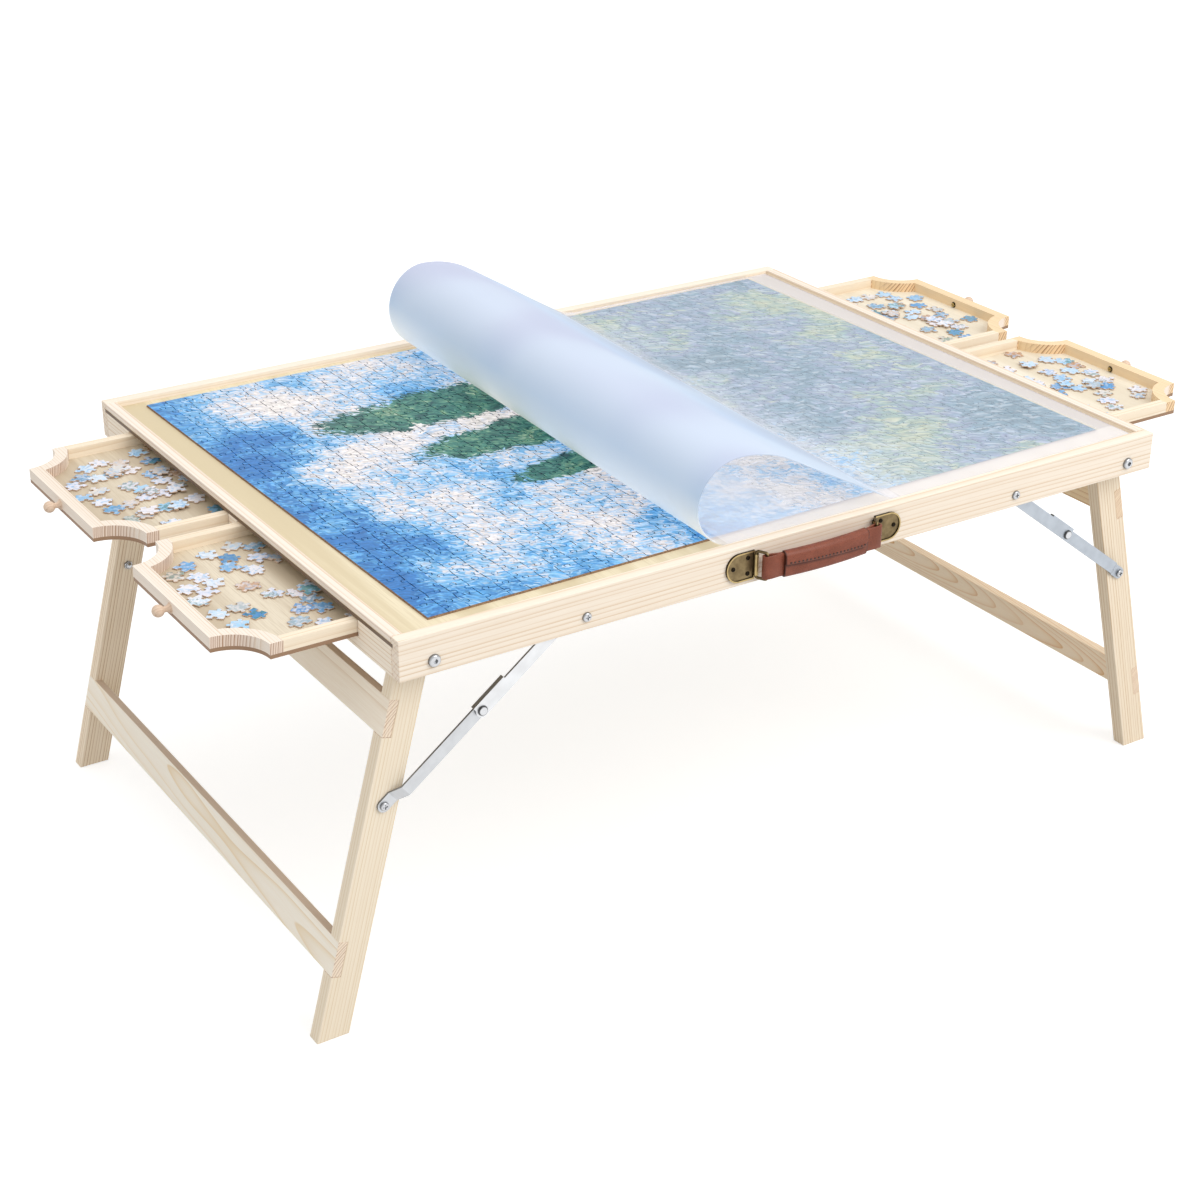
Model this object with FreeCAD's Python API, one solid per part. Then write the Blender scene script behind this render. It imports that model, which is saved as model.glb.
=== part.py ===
import FreeCAD, Part
import math
import os

# Folding jigsaw table with four drawers: a shallow pine frame around a plywood play board,
# two folding leg frames held by two-link braces, four drawers that slide out of the ends,
# a leather carry handle on the front rail and a clear cover sheet rolled back over the picture.
#
# Lengths are in millimetres and angles in degrees.  +X runs along the table, -Y is the front
# with the handle, and +Z is up.  The table is laid out about its own middle, and `save` moves
# every piece so that the origin is under the middle of the whole object, on the floor.

V = FreeCAD.Vector

# ------------------------------------------------------------------ driving sizes: table top
picture_length = 752.0          # the largest picture that the table is made for
picture_width = 564.0
picture_end_margin = 28.0       # bare board between the picture and an end strip
picture_side_margin = 17.0      # bare board between the picture and a rail
table_height = 378.0
rail_height = 37.0
rail_thickness = 12.0
end_strip_width = 11.0
rim_depth = 6.0                 # from the rim's top down to the play board
board_thickness = 3.5
board_groove_depth = 3.0        # how far the board's long edges enter the rails
wood_ease = 0.8                 # rounding of the sawn wooden edges

# ------------------------------------------------------------------ driving sizes: drawers
drawers_apart = 100.0           # between the backs of the left and the right drawers, pushed in
drawer_wall_height = 10.3
drawer_bottom_thickness = 3.5
drawer_front_thickness = 12.0
drawer_side_thickness = 10.0
scallop_radius = 36.0           # the hollow finger cut at each front corner
drawer_spacing = 20.0           # between the two drawers of one end
drawer_side_gap = 1.0
drawer_top_gap = 1.2
drawer_running_gap = 0.3        # between a drawer's bottom and the ledges it slides on
left_pull = 114.0               # how far the drawers of each end stand open
right_pull = 140.0
ledge_width = 8.0
ledge_thickness = 4.5
outer_guide_width = 17.0
leg_to_guide = 8.4              # room for the leg pivot's nut beside a guide
knob_length = 16.0
knob_ball_radius = 5.4
knob_neck_radius = 2.6
knob_base_radius = 5.0
knob_screw_radius = 1.4
knob_screw_depth = 8.0          # how far the screw enters the knob
knob_screw_head_radius = 3.2
knob_screw_head_height = 1.5

# ------------------------------------------------------------------ driving sizes: leg frames
leg_splay = 14.8                # outward lean of the opened legs
leg_width = 29.6
leg_thickness = 15.0
leg_inset = 28.6                # from a rail's outer face to the leg's outer face
pivot_from_end = 31.8
leg_head_gap = 0.5              # between the leg's round head and the board above it
stretcher_width = 34.0
stretcher_thickness = 9.0
upper_stretcher_start = 47.2    # along the leg, from its pivot
lower_stretcher_start = 270.4

# ------------------------------------------------------------------ driving sizes: braces
brace_from_pivot = 144.7        # along the rail, from leg pivot to brace pivot
brace_on_leg = 142.5            # along the leg, from leg pivot to brace screw
link_thickness = 2.0
upper_link_width = 12.5
lower_link_width = 12.0
brace_bush_length = 4.5         # between the rail's inner face and the upper link
link_gap = 0.2
lip_past_knee = 4.5             # the fold stop on the upper link reaches past the knee
lip_length = 36.5
lip_thickness = 1.8
lip_depth = 4.6
jog_length = 10.5               # where the lower link steps over to the leg
lug_length = 10.5               # from the jog to the screw on the leg
lug_gap = 0.2
knee_shank_radius = 2.5
knee_head_radius = 4.6
knee_head_height = 2.0
knee_tail_radius = 3.8
knee_tail_height = 1.2

# ------------------------------------------------------------------ driving sizes: fasteners
pivot_bolt_radius = 3.0
pivot_head_radius = 5.6
pivot_head_height = 3.0
hex_socket_flats = 4.0
socket_depth = 1.8
bush_wall = 4.0
nut_thickness = 3.8
nut_flats = 10.0
brace_bolt_radius = 2.5
brace_head_radius = 4.3
brace_head_height = 2.4
brace_nut_thickness = 3.0
brace_nut_flats = 8.0
leg_screw_radius = 2.0
leg_screw_head_radius = 4.0
leg_screw_head_height = 2.4
head_land_share = 0.62          # flat middle of a button head, as a share of its radius
cross_recess_width = 1.1
cross_recess_depth = 1.2
running_gap = 0.06              # radial, where a hole turns on a bolt
loose_gap = 0.1                 # radial, where a bolt stands still in its hole
face_gap = 0.2                  # between flat faces that turn past each other
brace_washer_gap = 0.2

# ------------------------------------------------------------------ driving sizes: handle
plate_length = 30.0
plate_height = 27.0
plate_thickness = 1.2
plate_rim_width = 1.3
plate_rim_height = 1.1
plates_apart = 133.5            # between the straight edges of the two plates
plate_drop = 19.0               # the handle's centre line, below the rim's top
plate_screw_head_radius = 2.1
plate_screw_head_height = 0.9
plate_screw_radius = 1.1
plate_screw_depth = 8.0
barrel_radius = 2.3
barrel_length = 20.0
ring_wire_radius = 1.3
ring_reach = 11.0               # from the hinge to the bar that holds the leather
ring_height = 25.4              # between the wire's centre lines
ring_corner_radius = 2.4        # of the wire's centre line
ring_angle = 62.0               # how far the rings stand out from the rail
strap_height = 21.5
strap_thickness = 4.0
strap_bow = 4.7
loop_wall = 1.9
loop_slack = 2.4                # free play of a bar along its leather loop
loop_gap = 0.35

# ------------------------------------------------------------------ driving sizes: on the table
picture_thickness = 2.0
picture_shift_x = 1.5           # the picture lies a little off the middle, and not quite square
picture_shift_y = 8.0
picture_turn = 0.77
cover_side_gap = 1.5            # between the sheet's sides and the rails
cover_thickness = 0.8
cover_end_gap = 4.0             # between the sheet's fixed end and the right end strip
roll_radius = 42.5
roll_centre_x = -64.5
crest_radius = 110.0            # the easier bend over the top of the roll
fall_angle = 30.0               # slope of the sheet coming down from the roll
landing_radius = 40.0
cover_touch_gap = 0.2

# ------------------------------------------------------------------ worked out from these
table_length = picture_length + 2 * (picture_end_margin + end_strip_width)
table_width = picture_width + 2 * (picture_side_margin + rail_thickness)
half_length = table_length / 2
half_width = table_width / 2
rail_inner_y = half_width - rail_thickness
rail_bottom = table_height - rail_height
board_top = table_height - rim_depth
board_bottom = board_top - board_thickness
drawer_top = board_bottom - drawer_top_gap
drawer_floor_top = drawer_top - drawer_wall_height
drawer_bottom = drawer_floor_top - drawer_bottom_thickness
ledge_top = drawer_bottom - drawer_running_gap
drawer_length = half_length - drawers_apart / 2
drawer_width = (half_width - leg_inset - leg_thickness - leg_to_guide - outer_guide_width
                - drawer_side_gap - drawer_spacing / 2)
drawer_centre_y = (drawer_spacing + drawer_width) / 2
cover_width = 2 * (rail_inner_y - cover_side_gap)
divider_half = drawer_spacing / 2 - drawer_side_gap
drawer_bay_outer = drawer_spacing / 2 + drawer_width + drawer_side_gap

pivot_x = half_length - pivot_from_end
pivot_z = board_bottom - leg_head_gap - leg_width / 2
leg_outer_y = half_width - leg_inset
leg_inner_y = leg_outer_y - leg_thickness
brace_x = pivot_x - brace_from_pivot

splay = math.radians(leg_splay)
down_leg = V(-math.sin(splay), 0, -math.cos(splay))       # along the left legs, to the foot
out_of_leg = V(-math.cos(splay), 0, math.sin(splay))      # square to them, away from the table


# ------------------------------------------------------------------ solids in plain shapes
def block(x_low, x_high, y_low, y_high, z_low, z_high, ease=0.0):
    """A box by its corners, with its edges rounded where ease is given."""
    size = (x_high - x_low, y_high - y_low, z_high - z_low)
    solid = Part.makeBox(*size, V(x_low, y_low, z_low))
    if ease > 0:
        solid = solid.makeFillet(min(ease, min(size) / 3), solid.Edges)
    return solid


def rod(x, y, z, radius, length, axis="y"):
    """A cylinder that starts at a point and runs along +X, +Y or +Z."""
    direction = {"x": V(1, 0, 0), "y": V(0, 1, 0), "z": V(0, 0, 1)}[axis]
    return Part.makeCylinder(radius, length, V(x, y, z), direction)


def face_of(edges):
    return Part.Face(Part.Wire(edges))


def polygon(points):
    return Part.Face(Part.makePolygon(points + [points[0]]))


def arc(start, through, end):
    return Part.Arc(start, through, end).toShape()


def line(start, end):
    return Part.LineSegment(start, end).toShape()


def hexagon_prism(x, y, z, flats, length):
    """A hexagonal prism that runs from y along +Y."""
    corner = flats / math.sqrt(3)
    angles = [math.radians(60 * k) for k in range(6)]
    points = [V(x + corner * math.cos(a), y, z + corner * math.sin(a)) for a in angles]
    return polygon(points).extrude(V(0, length, 0))


def turned(profile, centre, axis):
    """A turned solid: profile points are (radius, distance along the axis), base first."""
    side = V(0, 0, 1) if abs(axis.z) < 0.5 else V(1, 0, 0)
    points = [centre + side * radius + axis * along for radius, along in profile]
    face = polygon([centre + axis * profile[0][1]] + points + [centre + axis * profile[-1][1]])
    return face.revolve(centre, axis, 360)


def mirrored_x(shape):
    return shape.mirror(V(0, 0, 0), V(1, 0, 0))


def mirrored_y(shape):
    return shape.mirror(V(0, 0, 0), V(0, 1, 0))


def both_sides(shape):
    """The piece and its twin on the rear side of the table."""
    return [shape, mirrored_y(shape)]


def on_leg(across, along, y=0.0):
    """A point of the left leg frame: across points away from the table, along to the foot."""
    return V(-pivot_x, y, pivot_z) + out_of_leg * across + down_leg * along


# ------------------------------------------------------------------ table frame
def pivot_holes(x, radius):
    """The hole through a front rail for a bolt at x."""
    return rod(x, -half_width, pivot_z, radius, rail_thickness)


def long_rail(with_handle):
    rail = block(-half_length, half_length, -half_width, -rail_inner_y,
                 rail_bottom, table_height, wood_ease)
    groove = block(-half_length, half_length, -rail_inner_y - board_groove_depth, -rail_inner_y,
                   board_bottom, board_top)
    rail = rail.cut(groove)
    for side in (-1, 1):
        rail = rail.cut(pivot_holes(side * pivot_x, pivot_bolt_radius + loose_gap))
        rail = rail.cut(pivot_holes(side * brace_x, brace_bolt_radius + loose_gap))
    if with_handle:
        for x, z in plate_screw_places():
            rail = rail.cut(rod(x, -half_width, z, plate_screw_radius + loose_gap,
                                plate_screw_depth + loose_gap))
    return rail


def end_strip():
    return block(-half_length, -half_length + end_strip_width, -rail_inner_y, rail_inner_y,
                 board_top, table_height, wood_ease)


def end_rail():
    """The rail under the board's end, with an open bay for each of the two drawers."""
    rail = block(-half_length, -half_length + rail_thickness, -rail_inner_y, rail_inner_y,
                 rail_bottom, board_bottom, wood_ease)
    for side in (-1, 1):
        low, high = sorted((side * divider_half, side * drawer_bay_outer))
        bay = block(-half_length, -half_length + rail_thickness, low, high,
                    ledge_top, board_bottom)
        rail = rail.cut(bay)
    return rail


def play_board():
    reach = rail_inner_y + board_groove_depth
    return block(-half_length, half_length, -reach, reach, board_bottom, board_top)


def guide(points):
    """A drawer guide of one section from end rail to end rail."""
    start = -half_length + rail_thickness
    section = polygon([V(start, y, z) for y, z in points])
    return section.extrude(V(-2 * start, 0, 0))


def centre_guide():
    ledge = divider_half + drawer_side_gap + ledge_width
    ledge_bottom = ledge_top - ledge_thickness
    return guide([(-divider_half, board_bottom), (divider_half, board_bottom),
                  (divider_half, ledge_top), (ledge, ledge_top), (ledge, ledge_bottom),
                  (-ledge, ledge_bottom), (-ledge, ledge_top), (-divider_half, ledge_top)])


def front_guide():
    inner = -drawer_bay_outer
    ledge = inner + drawer_side_gap + ledge_width
    ledge_bottom = ledge_top - ledge_thickness
    outer = inner - outer_guide_width
    return guide([(outer, board_bottom), (inner, board_bottom), (inner, ledge_top),
                  (ledge, ledge_top), (ledge, ledge_bottom), (outer, ledge_bottom)])


# ------------------------------------------------------------------ drawers
def drawer_corner(side, radius, across):
    """A point on the arc about a front corner, at a distance across from the drawer's edge."""
    w = drawer_width / 2
    return V(-math.sqrt(radius ** 2 - across ** 2), side * (w - across), 0)


def drawer_outline(back):
    """The drawer's outer edge in plan: straight sides and front, hollow front corners."""
    w = drawer_width / 2
    r = scallop_radius
    d = r * math.sqrt(0.5)
    return [line(V(back, -w, 0), V(-r, -w, 0)),
            arc(V(-r, -w, 0), V(-d, -w + d, 0), V(0, -w + r, 0)),
            line(V(0, -w + r, 0), V(0, w - r, 0)),
            arc(V(0, w - r, 0), V(-d, w - d, 0), V(-r, w, 0)),
            line(V(-r, w, 0), V(back, w, 0))]


def drawer_front():
    """One piece: the front wall with its hollow corners, the wall following each hollow."""
    w = drawer_width / 2
    t = drawer_side_thickness
    f = drawer_front_thickness
    outer = scallop_radius + f
    back = -outer
    turn = math.sqrt(outer ** 2 - f ** 2)
    middle = outer * math.sqrt(0.5)
    edges = drawer_outline(back)
    edges += [line(V(back, w, 0), V(back, w - t, 0)),
              line(V(back, w - t, 0), drawer_corner(1, outer, t)),
              arc(drawer_corner(1, outer, t), V(-middle, w - middle, 0), V(-f, w - turn, 0)),
              line(V(-f, w - turn, 0), V(-f, turn - w, 0)),
              arc(V(-f, turn - w, 0), V(-middle, middle - w, 0), drawer_corner(-1, outer, t)),
              line(drawer_corner(-1, outer, t), V(back, t - w, 0)),
              line(V(back, t - w, 0), V(back, -w, 0))]
    front = face_of(edges).extrude(V(0, 0, drawer_wall_height))
    hole = rod(-f, 0, drawer_knob_height(), knob_screw_radius + loose_gap, f, "x")
    return front.cut(hole)


def drawer_sides():
    w = drawer_width / 2
    t = drawer_side_thickness
    start = -scallop_radius - drawer_front_thickness
    height = drawer_wall_height
    side = block(-drawer_length, start, -w, -w + t, 0, height)
    back = block(-drawer_length, -drawer_length + t, -w + t, w - t, 0, height)
    return [side, mirrored_y(side), back]


def drawer_bottom_panel():
    w = drawer_width / 2
    edges = drawer_outline(-drawer_length)
    edges.append(line(V(-drawer_length, w, 0), V(-drawer_length, -w, 0)))
    panel = face_of(edges).extrude(V(0, 0, drawer_bottom_thickness))
    panel.translate(V(0, 0, -drawer_bottom_thickness))
    return panel


def drawer_knob_height():
    """The knob's centre above the drawer's floor, at half the height of the whole front."""
    return (drawer_wall_height - drawer_bottom_thickness) / 2


def drawer_knob():
    """A turned knob: a flared foot, a narrow neck and a ball."""
    centre = V(0, 0, drawer_knob_height())
    ball_at = knob_length - knob_ball_radius
    neck_at = ball_at - math.sqrt(knob_ball_radius ** 2 - knob_neck_radius ** 2)
    base = V(0, 0, knob_base_radius) + centre
    edges = [line(centre, base),
             arc(base,
                 centre + V(neck_at * 0.3, 0, (knob_base_radius + knob_neck_radius) / 2 - 0.4),
                 centre + V(neck_at, 0, knob_neck_radius)),
             arc(centre + V(neck_at, 0, knob_neck_radius),
                 centre + V(ball_at, 0, knob_ball_radius),
                 centre + V(knob_length, 0, 0)),
             line(centre + V(knob_length, 0, 0), centre)]
    knob = face_of(edges).revolve(centre, V(1, 0, 0), 360)
    return knob.cut(rod(0, 0, centre.z, knob_screw_radius + loose_gap,
                        knob_screw_depth + loose_gap, "x"))


def drawer_knob_screw():
    z = drawer_knob_height()
    seat = -drawer_front_thickness
    shank = rod(seat, 0, z, knob_screw_radius, -seat + knob_screw_depth, "x")
    rim = knob_screw_head_radius
    head = turned([(rim, 0.0), (rim, 0.5), (rim * 0.72, knob_screw_head_height)],
                  V(seat, 0, z), V(-1, 0, 0))
    slot = block(seat - knob_screw_head_height, seat - knob_screw_head_height / 2,
                 -2 * rim, 2 * rim, z - 0.45, z + 0.45)
    return head.fuse(shank).removeSplitter().cut(slot)


def placed_drawer_part(shapes, end, side):
    """Move a drawer's piece from its own frame to its bay: front at X = 0, floor at Z = 0."""
    placed = []
    for shape in shapes:
        copy = shape.copy()
        reach = half_length + (right_pull if end > 0 else left_pull)
        if end < 0:
            copy = mirrored_x(copy)
        copy.translate(V(end * reach, side * drawer_centre_y, drawer_floor_top))
        placed.append(copy)
    return placed


# ------------------------------------------------------------------ leg frames (left side)
def leg_foot(across):
    """How far along the leg its floor cut lies, at a distance across it."""
    return (pivot_z + across * math.sin(splay)) / math.cos(splay)


def stretcher_face(start):
    flush = leg_width / 2
    inside = flush - stretcher_thickness
    return [on_leg(inside, start), on_leg(flush, start),
            on_leg(flush, start + stretcher_width), on_leg(inside, start + stretcher_width)]


def stretcher(start):
    points = [p + V(0, -leg_outer_y, 0) for p in stretcher_face(start)]
    bar = polygon(points).extrude(V(0, 2 * leg_outer_y, 0))
    return bar.makeFillet(wood_ease, bar.Edges)


def stretcher_notch(start):
    points = [p + V(0, -leg_outer_y, 0) for p in stretcher_face(start)]
    return polygon(points).extrude(V(0, leg_thickness, 0))


def front_leg():
    """The left front leg: a round head about its pivot, notches for both stretchers."""
    half = leg_width / 2
    y = -leg_outer_y
    edges = [arc(on_leg(-half, 0, y), on_leg(0, -half, y), on_leg(half, 0, y)),
             line(on_leg(half, 0, y), on_leg(half, leg_foot(half), y)),
             line(on_leg(half, leg_foot(half), y), on_leg(-half, leg_foot(-half), y)),
             line(on_leg(-half, leg_foot(-half), y), on_leg(-half, 0, y))]
    leg = face_of(edges).extrude(V(0, leg_thickness, 0))
    above_floor = [e for e in leg.Edges if e.BoundBox.ZMax >= wood_ease]
    leg = leg.makeFillet(wood_ease, above_floor)
    leg = leg.cut(rod(-pivot_x, y, pivot_z, pivot_bolt_radius + running_gap, leg_thickness))
    for start in (upper_stretcher_start, lower_stretcher_start):
        leg = leg.cut(stretcher_notch(start))
    return leg


# ------------------------------------------------------------------ pivot and brace bolts
def cross_recess(x, y, z, radius):
    """A cross-shaped driver recess cut into a head whose top is at y."""
    half = cross_recess_width / 2
    reach = radius * 0.55
    upright = block(x - half, x + half, y, y + cross_recess_depth, z - reach, z + reach)
    level = block(x - reach, x + reach, y, y + cross_recess_depth, z - half, z + half)
    return upright.fuse(level)


def domed_head(x, y, z, radius, height):
    """A button head whose flat side is at y and whose dome points to the front."""
    face = V(x, y, z)
    rim = height * 0.35
    top = radius * head_land_share
    edges = [line(face, face + V(0, 0, radius)),
             line(face + V(0, 0, radius), face + V(0, -rim, radius)),
             arc(face + V(0, -rim, radius), face + V(0, -height * 0.85, radius * 0.86),
                 face + V(0, -height, top)),
             line(face + V(0, -height, top), face + V(0, -height, 0)),
             line(face + V(0, -height, 0), face)]
    return face_of(edges).revolve(face, V(0, 1, 0), 360)


def pivot_bolt(x):
    y = -half_width
    end = -leg_inner_y + face_gap + nut_thickness
    head = domed_head(x, y, pivot_z, pivot_head_radius, pivot_head_height)
    shank = rod(x, y, pivot_z, pivot_bolt_radius, end - y)
    socket = hexagon_prism(x, y - pivot_head_height, pivot_z, hex_socket_flats, socket_depth)
    return head.fuse(shank).removeSplitter().cut(socket)


def pivot_bush(x):
    inner = pivot_bolt_radius + loose_gap
    start = -rail_inner_y
    length = -leg_outer_y - face_gap - start
    tube = rod(x, start, pivot_z, inner + bush_wall, length)
    return tube.cut(rod(x, start, pivot_z, inner, length))


def pivot_nut(x):
    start = -leg_inner_y + face_gap
    nut = hexagon_prism(x, start, pivot_z, nut_flats, nut_thickness)
    return nut.cut(rod(x, start, pivot_z, pivot_bolt_radius + running_gap, nut_thickness))


def brace_bush(x):
    inner = brace_bolt_radius + loose_gap
    start = -rail_inner_y
    tube = rod(x, start, pivot_z, inner + bush_wall / 2, brace_bush_length)
    return tube.cut(rod(x, start, pivot_z, inner, brace_bush_length))


def upper_link_y():
    """The outer face of the upper links, on the front side."""
    return -rail_inner_y + brace_bush_length + brace_washer_gap


def brace_nut_y():
    return upper_link_y() + link_thickness + brace_washer_gap


def brace_bolt(x):
    y = -half_width
    end = brace_nut_y() + brace_nut_thickness
    head = domed_head(x, y, pivot_z, brace_head_radius, brace_head_height)
    shank = rod(x, y, pivot_z, brace_bolt_radius, end - y)
    recess = cross_recess(x, y - brace_head_height, pivot_z, brace_head_radius)
    return head.fuse(shank).removeSplitter().cut(recess)


def brace_nut(x):
    start = brace_nut_y()
    nut = hexagon_prism(x, start, pivot_z, brace_nut_flats, brace_nut_thickness)
    hole = rod(x, start, pivot_z, brace_bolt_radius + running_gap, brace_nut_thickness)
    return nut.cut(hole)


# ------------------------------------------------------------------ braces (left front)
brace_top = V(-brace_x, 0, pivot_z)
brace_foot = on_leg(0, brace_on_leg)
brace_span = (brace_top - brace_foot).Length
upper_link_length = (brace_span + brace_from_pivot - brace_on_leg) / 2
lower_link_length = brace_span - upper_link_length
along_brace = (brace_top - brace_foot).normalize()            # from the leg up to the rail
over_brace = V(-along_brace.z, 0, along_brace.x)              # square to it, upwards
knee = brace_top - along_brace * upper_link_length


def from_knee(along, over, y):
    """A point of the opened brace: along points from the knee to the rail."""
    return knee + along_brace * along + over_brace * over + V(0, y, 0)


def link_blank(start, end, width, y, depth):
    """A flat bar with round ends between two pivots, from y along +Y."""
    half = width / 2
    edges = [line(from_knee(start, half, y), from_knee(end, half, y)),
             arc(from_knee(end, half, y), from_knee(end + half, 0, y), from_knee(end, -half, y)),
             line(from_knee(end, -half, y), from_knee(start, -half, y)),
             arc(from_knee(start, -half, y), from_knee(start - half, 0, y),
                 from_knee(start, half, y))]
    return face_of(edges).extrude(V(0, depth, 0))


def pivot_hole(point, radius, y, depth):
    return rod(point.x, y, point.z, radius + running_gap, depth)


def upper_link():
    """The link on the rail, with the bent-back lip that stops the lower link when folded."""
    y = upper_link_y()
    half = upper_link_width / 2
    bar = link_blank(0, upper_link_length, upper_link_width, y, link_thickness)
    lip_start = -lip_past_knee
    lip_end = lip_start + lip_length
    lip = polygon([from_knee(lip_start, half, y), from_knee(lip_end, half, y),
                   from_knee(lip_end, half + lip_thickness, y),
                   from_knee(lip_start, half + lip_thickness, y)]).extrude(V(0, lip_depth, 0))
    root = polygon([from_knee(lip_start, half - lip_thickness, y),
                    from_knee(lip_end, half - lip_thickness, y),
                    from_knee(lip_end, half, y), from_knee(lip_start, half, y)])
    root = root.extrude(V(0, link_thickness, 0))
    link = bar.fuse([lip, root]).removeSplitter()
    link = link.cut(pivot_hole(brace_top, brace_bolt_radius, y, link_thickness))
    return link.cut(pivot_hole(knee, knee_shank_radius, y, link_thickness))


def lower_link_y():
    return upper_link_y() + link_thickness + link_gap


def lug_y():
    """The outer face of the lower links' lugs, beside the leg."""
    return -leg_outer_y - lug_gap - link_thickness


def lower_link():
    """The link on the leg: straight, then a jog over to the leg, then the lug."""
    y = lower_link_y()
    half = lower_link_width / 2
    bend = -(lower_link_length - lug_length - jog_length)
    lug = bend - jog_length
    tip = -lower_link_length - half
    step = lug_y() - y
    side = [(half, 0), (bend, 0), (lug, step), (tip, step),
            (tip, step + link_thickness), (lug, step + link_thickness),
            (bend, link_thickness), (half, link_thickness)]
    strip = polygon([from_knee(a, -half, y + b) for a, b in side])
    strip = strip.extrude(over_brace * lower_link_width)
    outline = link_blank(-lower_link_length, 0, lower_link_width, y, step + link_thickness)
    link = strip.common(outline)
    link = link.cut(pivot_hole(knee, knee_shank_radius, y, link_thickness))
    return link.cut(pivot_hole(brace_foot, leg_screw_radius, lug_y(), link_thickness))


def knee_rivet():
    y = upper_link_y()
    back = lower_link_y() + link_thickness + link_gap
    head = domed_head(knee.x, y, knee.z, knee_head_radius, knee_head_height)
    shank = rod(knee.x, y, knee.z, knee_shank_radius, back - y)
    tail = rod(knee.x, back, knee.z, knee_tail_radius, knee_tail_height)
    return head.fuse([shank, tail]).removeSplitter()


def leg_screw():
    """The screw that holds the lug.  It ends flush with the lug, just clear of the leg."""
    y = lug_y()
    foot = brace_foot
    head = domed_head(foot.x, y, foot.z, leg_screw_head_radius, leg_screw_head_height)
    shank = rod(foot.x, y, foot.z, leg_screw_radius, link_thickness)
    recess = cross_recess(foot.x, y - leg_screw_head_height, foot.z, leg_screw_head_radius)
    return head.fuse(shank).removeSplitter().cut(recess)


# ------------------------------------------------------------------ carry handle
handle_z = table_height - plate_drop
hinge_x = plates_apart / 2 - barrel_radius + plate_thickness
hinge_y = -half_width - barrel_radius
ring_lean = math.radians(ring_angle)
ring_bar_x = hinge_x - ring_reach * math.cos(ring_lean)
ring_bar_y = hinge_y - ring_reach * math.sin(ring_lean)


def plate_screw_places():
    """Three screws in each plate: two beside the hinge and one in the round end."""
    near = plates_apart / 2 + 7.0
    far = plates_apart / 2 + plate_length - 7.5
    spread = plate_height / 2 - 6.0
    one_side = [(near, spread), (near, -spread), (far, 0.0)]
    return [(side * x, handle_z + z) for side in (-1, 1) for x, z in one_side]


def d_shape(inset, y, depth):
    """The D of the left plate, its straight edge towards the middle, shrunk by inset."""
    radius = plate_height / 2 - inset
    straight = -plates_apart / 2 - inset
    centre = -plates_apart / 2 - plate_length + plate_height / 2
    edges = [line(V(straight, y, handle_z - radius), V(straight, y, handle_z + radius)),
             line(V(straight, y, handle_z + radius), V(centre, y, handle_z + radius)),
             arc(V(centre, y, handle_z + radius), V(centre - radius, y, handle_z),
                 V(centre, y, handle_z - radius)),
             line(V(centre, y, handle_z - radius), V(straight, y, handle_z - radius))]
    return face_of(edges).extrude(V(0, depth, 0))


def handle_plate():
    """A D-shaped plate with a raised rim and the hinge barrel on its straight edge."""
    front = -half_width - plate_thickness
    base = d_shape(0, front, plate_thickness)
    rim = d_shape(0, front - plate_rim_height, plate_rim_height)
    rim = rim.cut(d_shape(plate_rim_width, front - plate_rim_height, plate_rim_height))
    barrel = rod(-hinge_x, hinge_y, handle_z - barrel_length / 2, barrel_radius,
                 barrel_length, "z")
    plate = base.fuse([rim, barrel]).removeSplitter()
    bore = ring_wire_radius + running_gap
    plate = plate.cut(rod(-hinge_x, hinge_y, handle_z - plate_height, bore,
                          2 * plate_height, "z"))
    for x, z in plate_screw_places():
        if x < 0:
            plate = plate.cut(rod(x, -half_width - plate_thickness, z,
                                  plate_screw_radius + loose_gap, plate_thickness))
    return plate


def handle_screw(x, z):
    y = -half_width - plate_thickness
    radius = plate_screw_head_radius
    height = plate_screw_head_height
    head = domed_head(x, y, z, radius, height)
    shank = rod(x, y, z, plate_screw_radius, plate_thickness + plate_screw_depth)
    reach = radius * head_land_share * 0.85
    slot = block(x - reach, x + reach, y - height, y - height / 2, z - 0.3, z + 0.3)
    return head.fuse(shank).removeSplitter().cut(slot)


def handle_ring():
    """The left ring: a closed rectangle of wire that turns in the plate's barrel."""
    low = handle_z - ring_height / 2
    hinge = V(-hinge_x, hinge_y, low)
    across = V(ring_bar_x - hinge_x, hinge_y - ring_bar_y, 0) * -1     # from hinge to bar
    up = V(0, 0, ring_height)
    corners = [hinge, hinge + up, hinge + across + up, hinge + across]
    bend = ring_corner_radius
    edges = []
    starts = []
    for k, corner in enumerate(corners):
        before = (corner - corners[k - 1]).normalize()
        after = (corners[(k + 1) % 4] - corner).normalize()
        middle = corner + (after - before) * bend * (1 - math.sqrt(0.5))
        starts.append((corner - before * bend, corner + after * bend))
        edges.append(arc(corner - before * bend, middle, corner + after * bend))
        if k > 0:
            edges.insert(-1, line(starts[k - 1][1], starts[k][0]))
    edges.append(line(starts[3][1], starts[0][0]))
    section = Part.makeCircle(ring_wire_radius, hinge + up / 2, V(0, 0, 1))
    path = Part.Wire(Part.sortEdges(edges)[0])
    return path.makePipeShell([Part.Wire(section)], True, True)


def strap_arc(offset):
    """The strap's line in plan at an offset towards the viewer: start, middle and end."""
    half = ring_bar_x
    radius = (half ** 2 + strap_bow ** 2) / (2 * strap_bow)
    centre_y = ring_bar_y - strap_bow + radius
    reach = radius + offset
    turn = math.asin(half / radius)
    return [V(-reach * math.sin(turn), centre_y - reach * math.cos(turn), 0),
            V(0, centre_y - reach, 0),
            V(reach * math.sin(turn), centre_y - reach * math.cos(turn), 0)]


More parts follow.
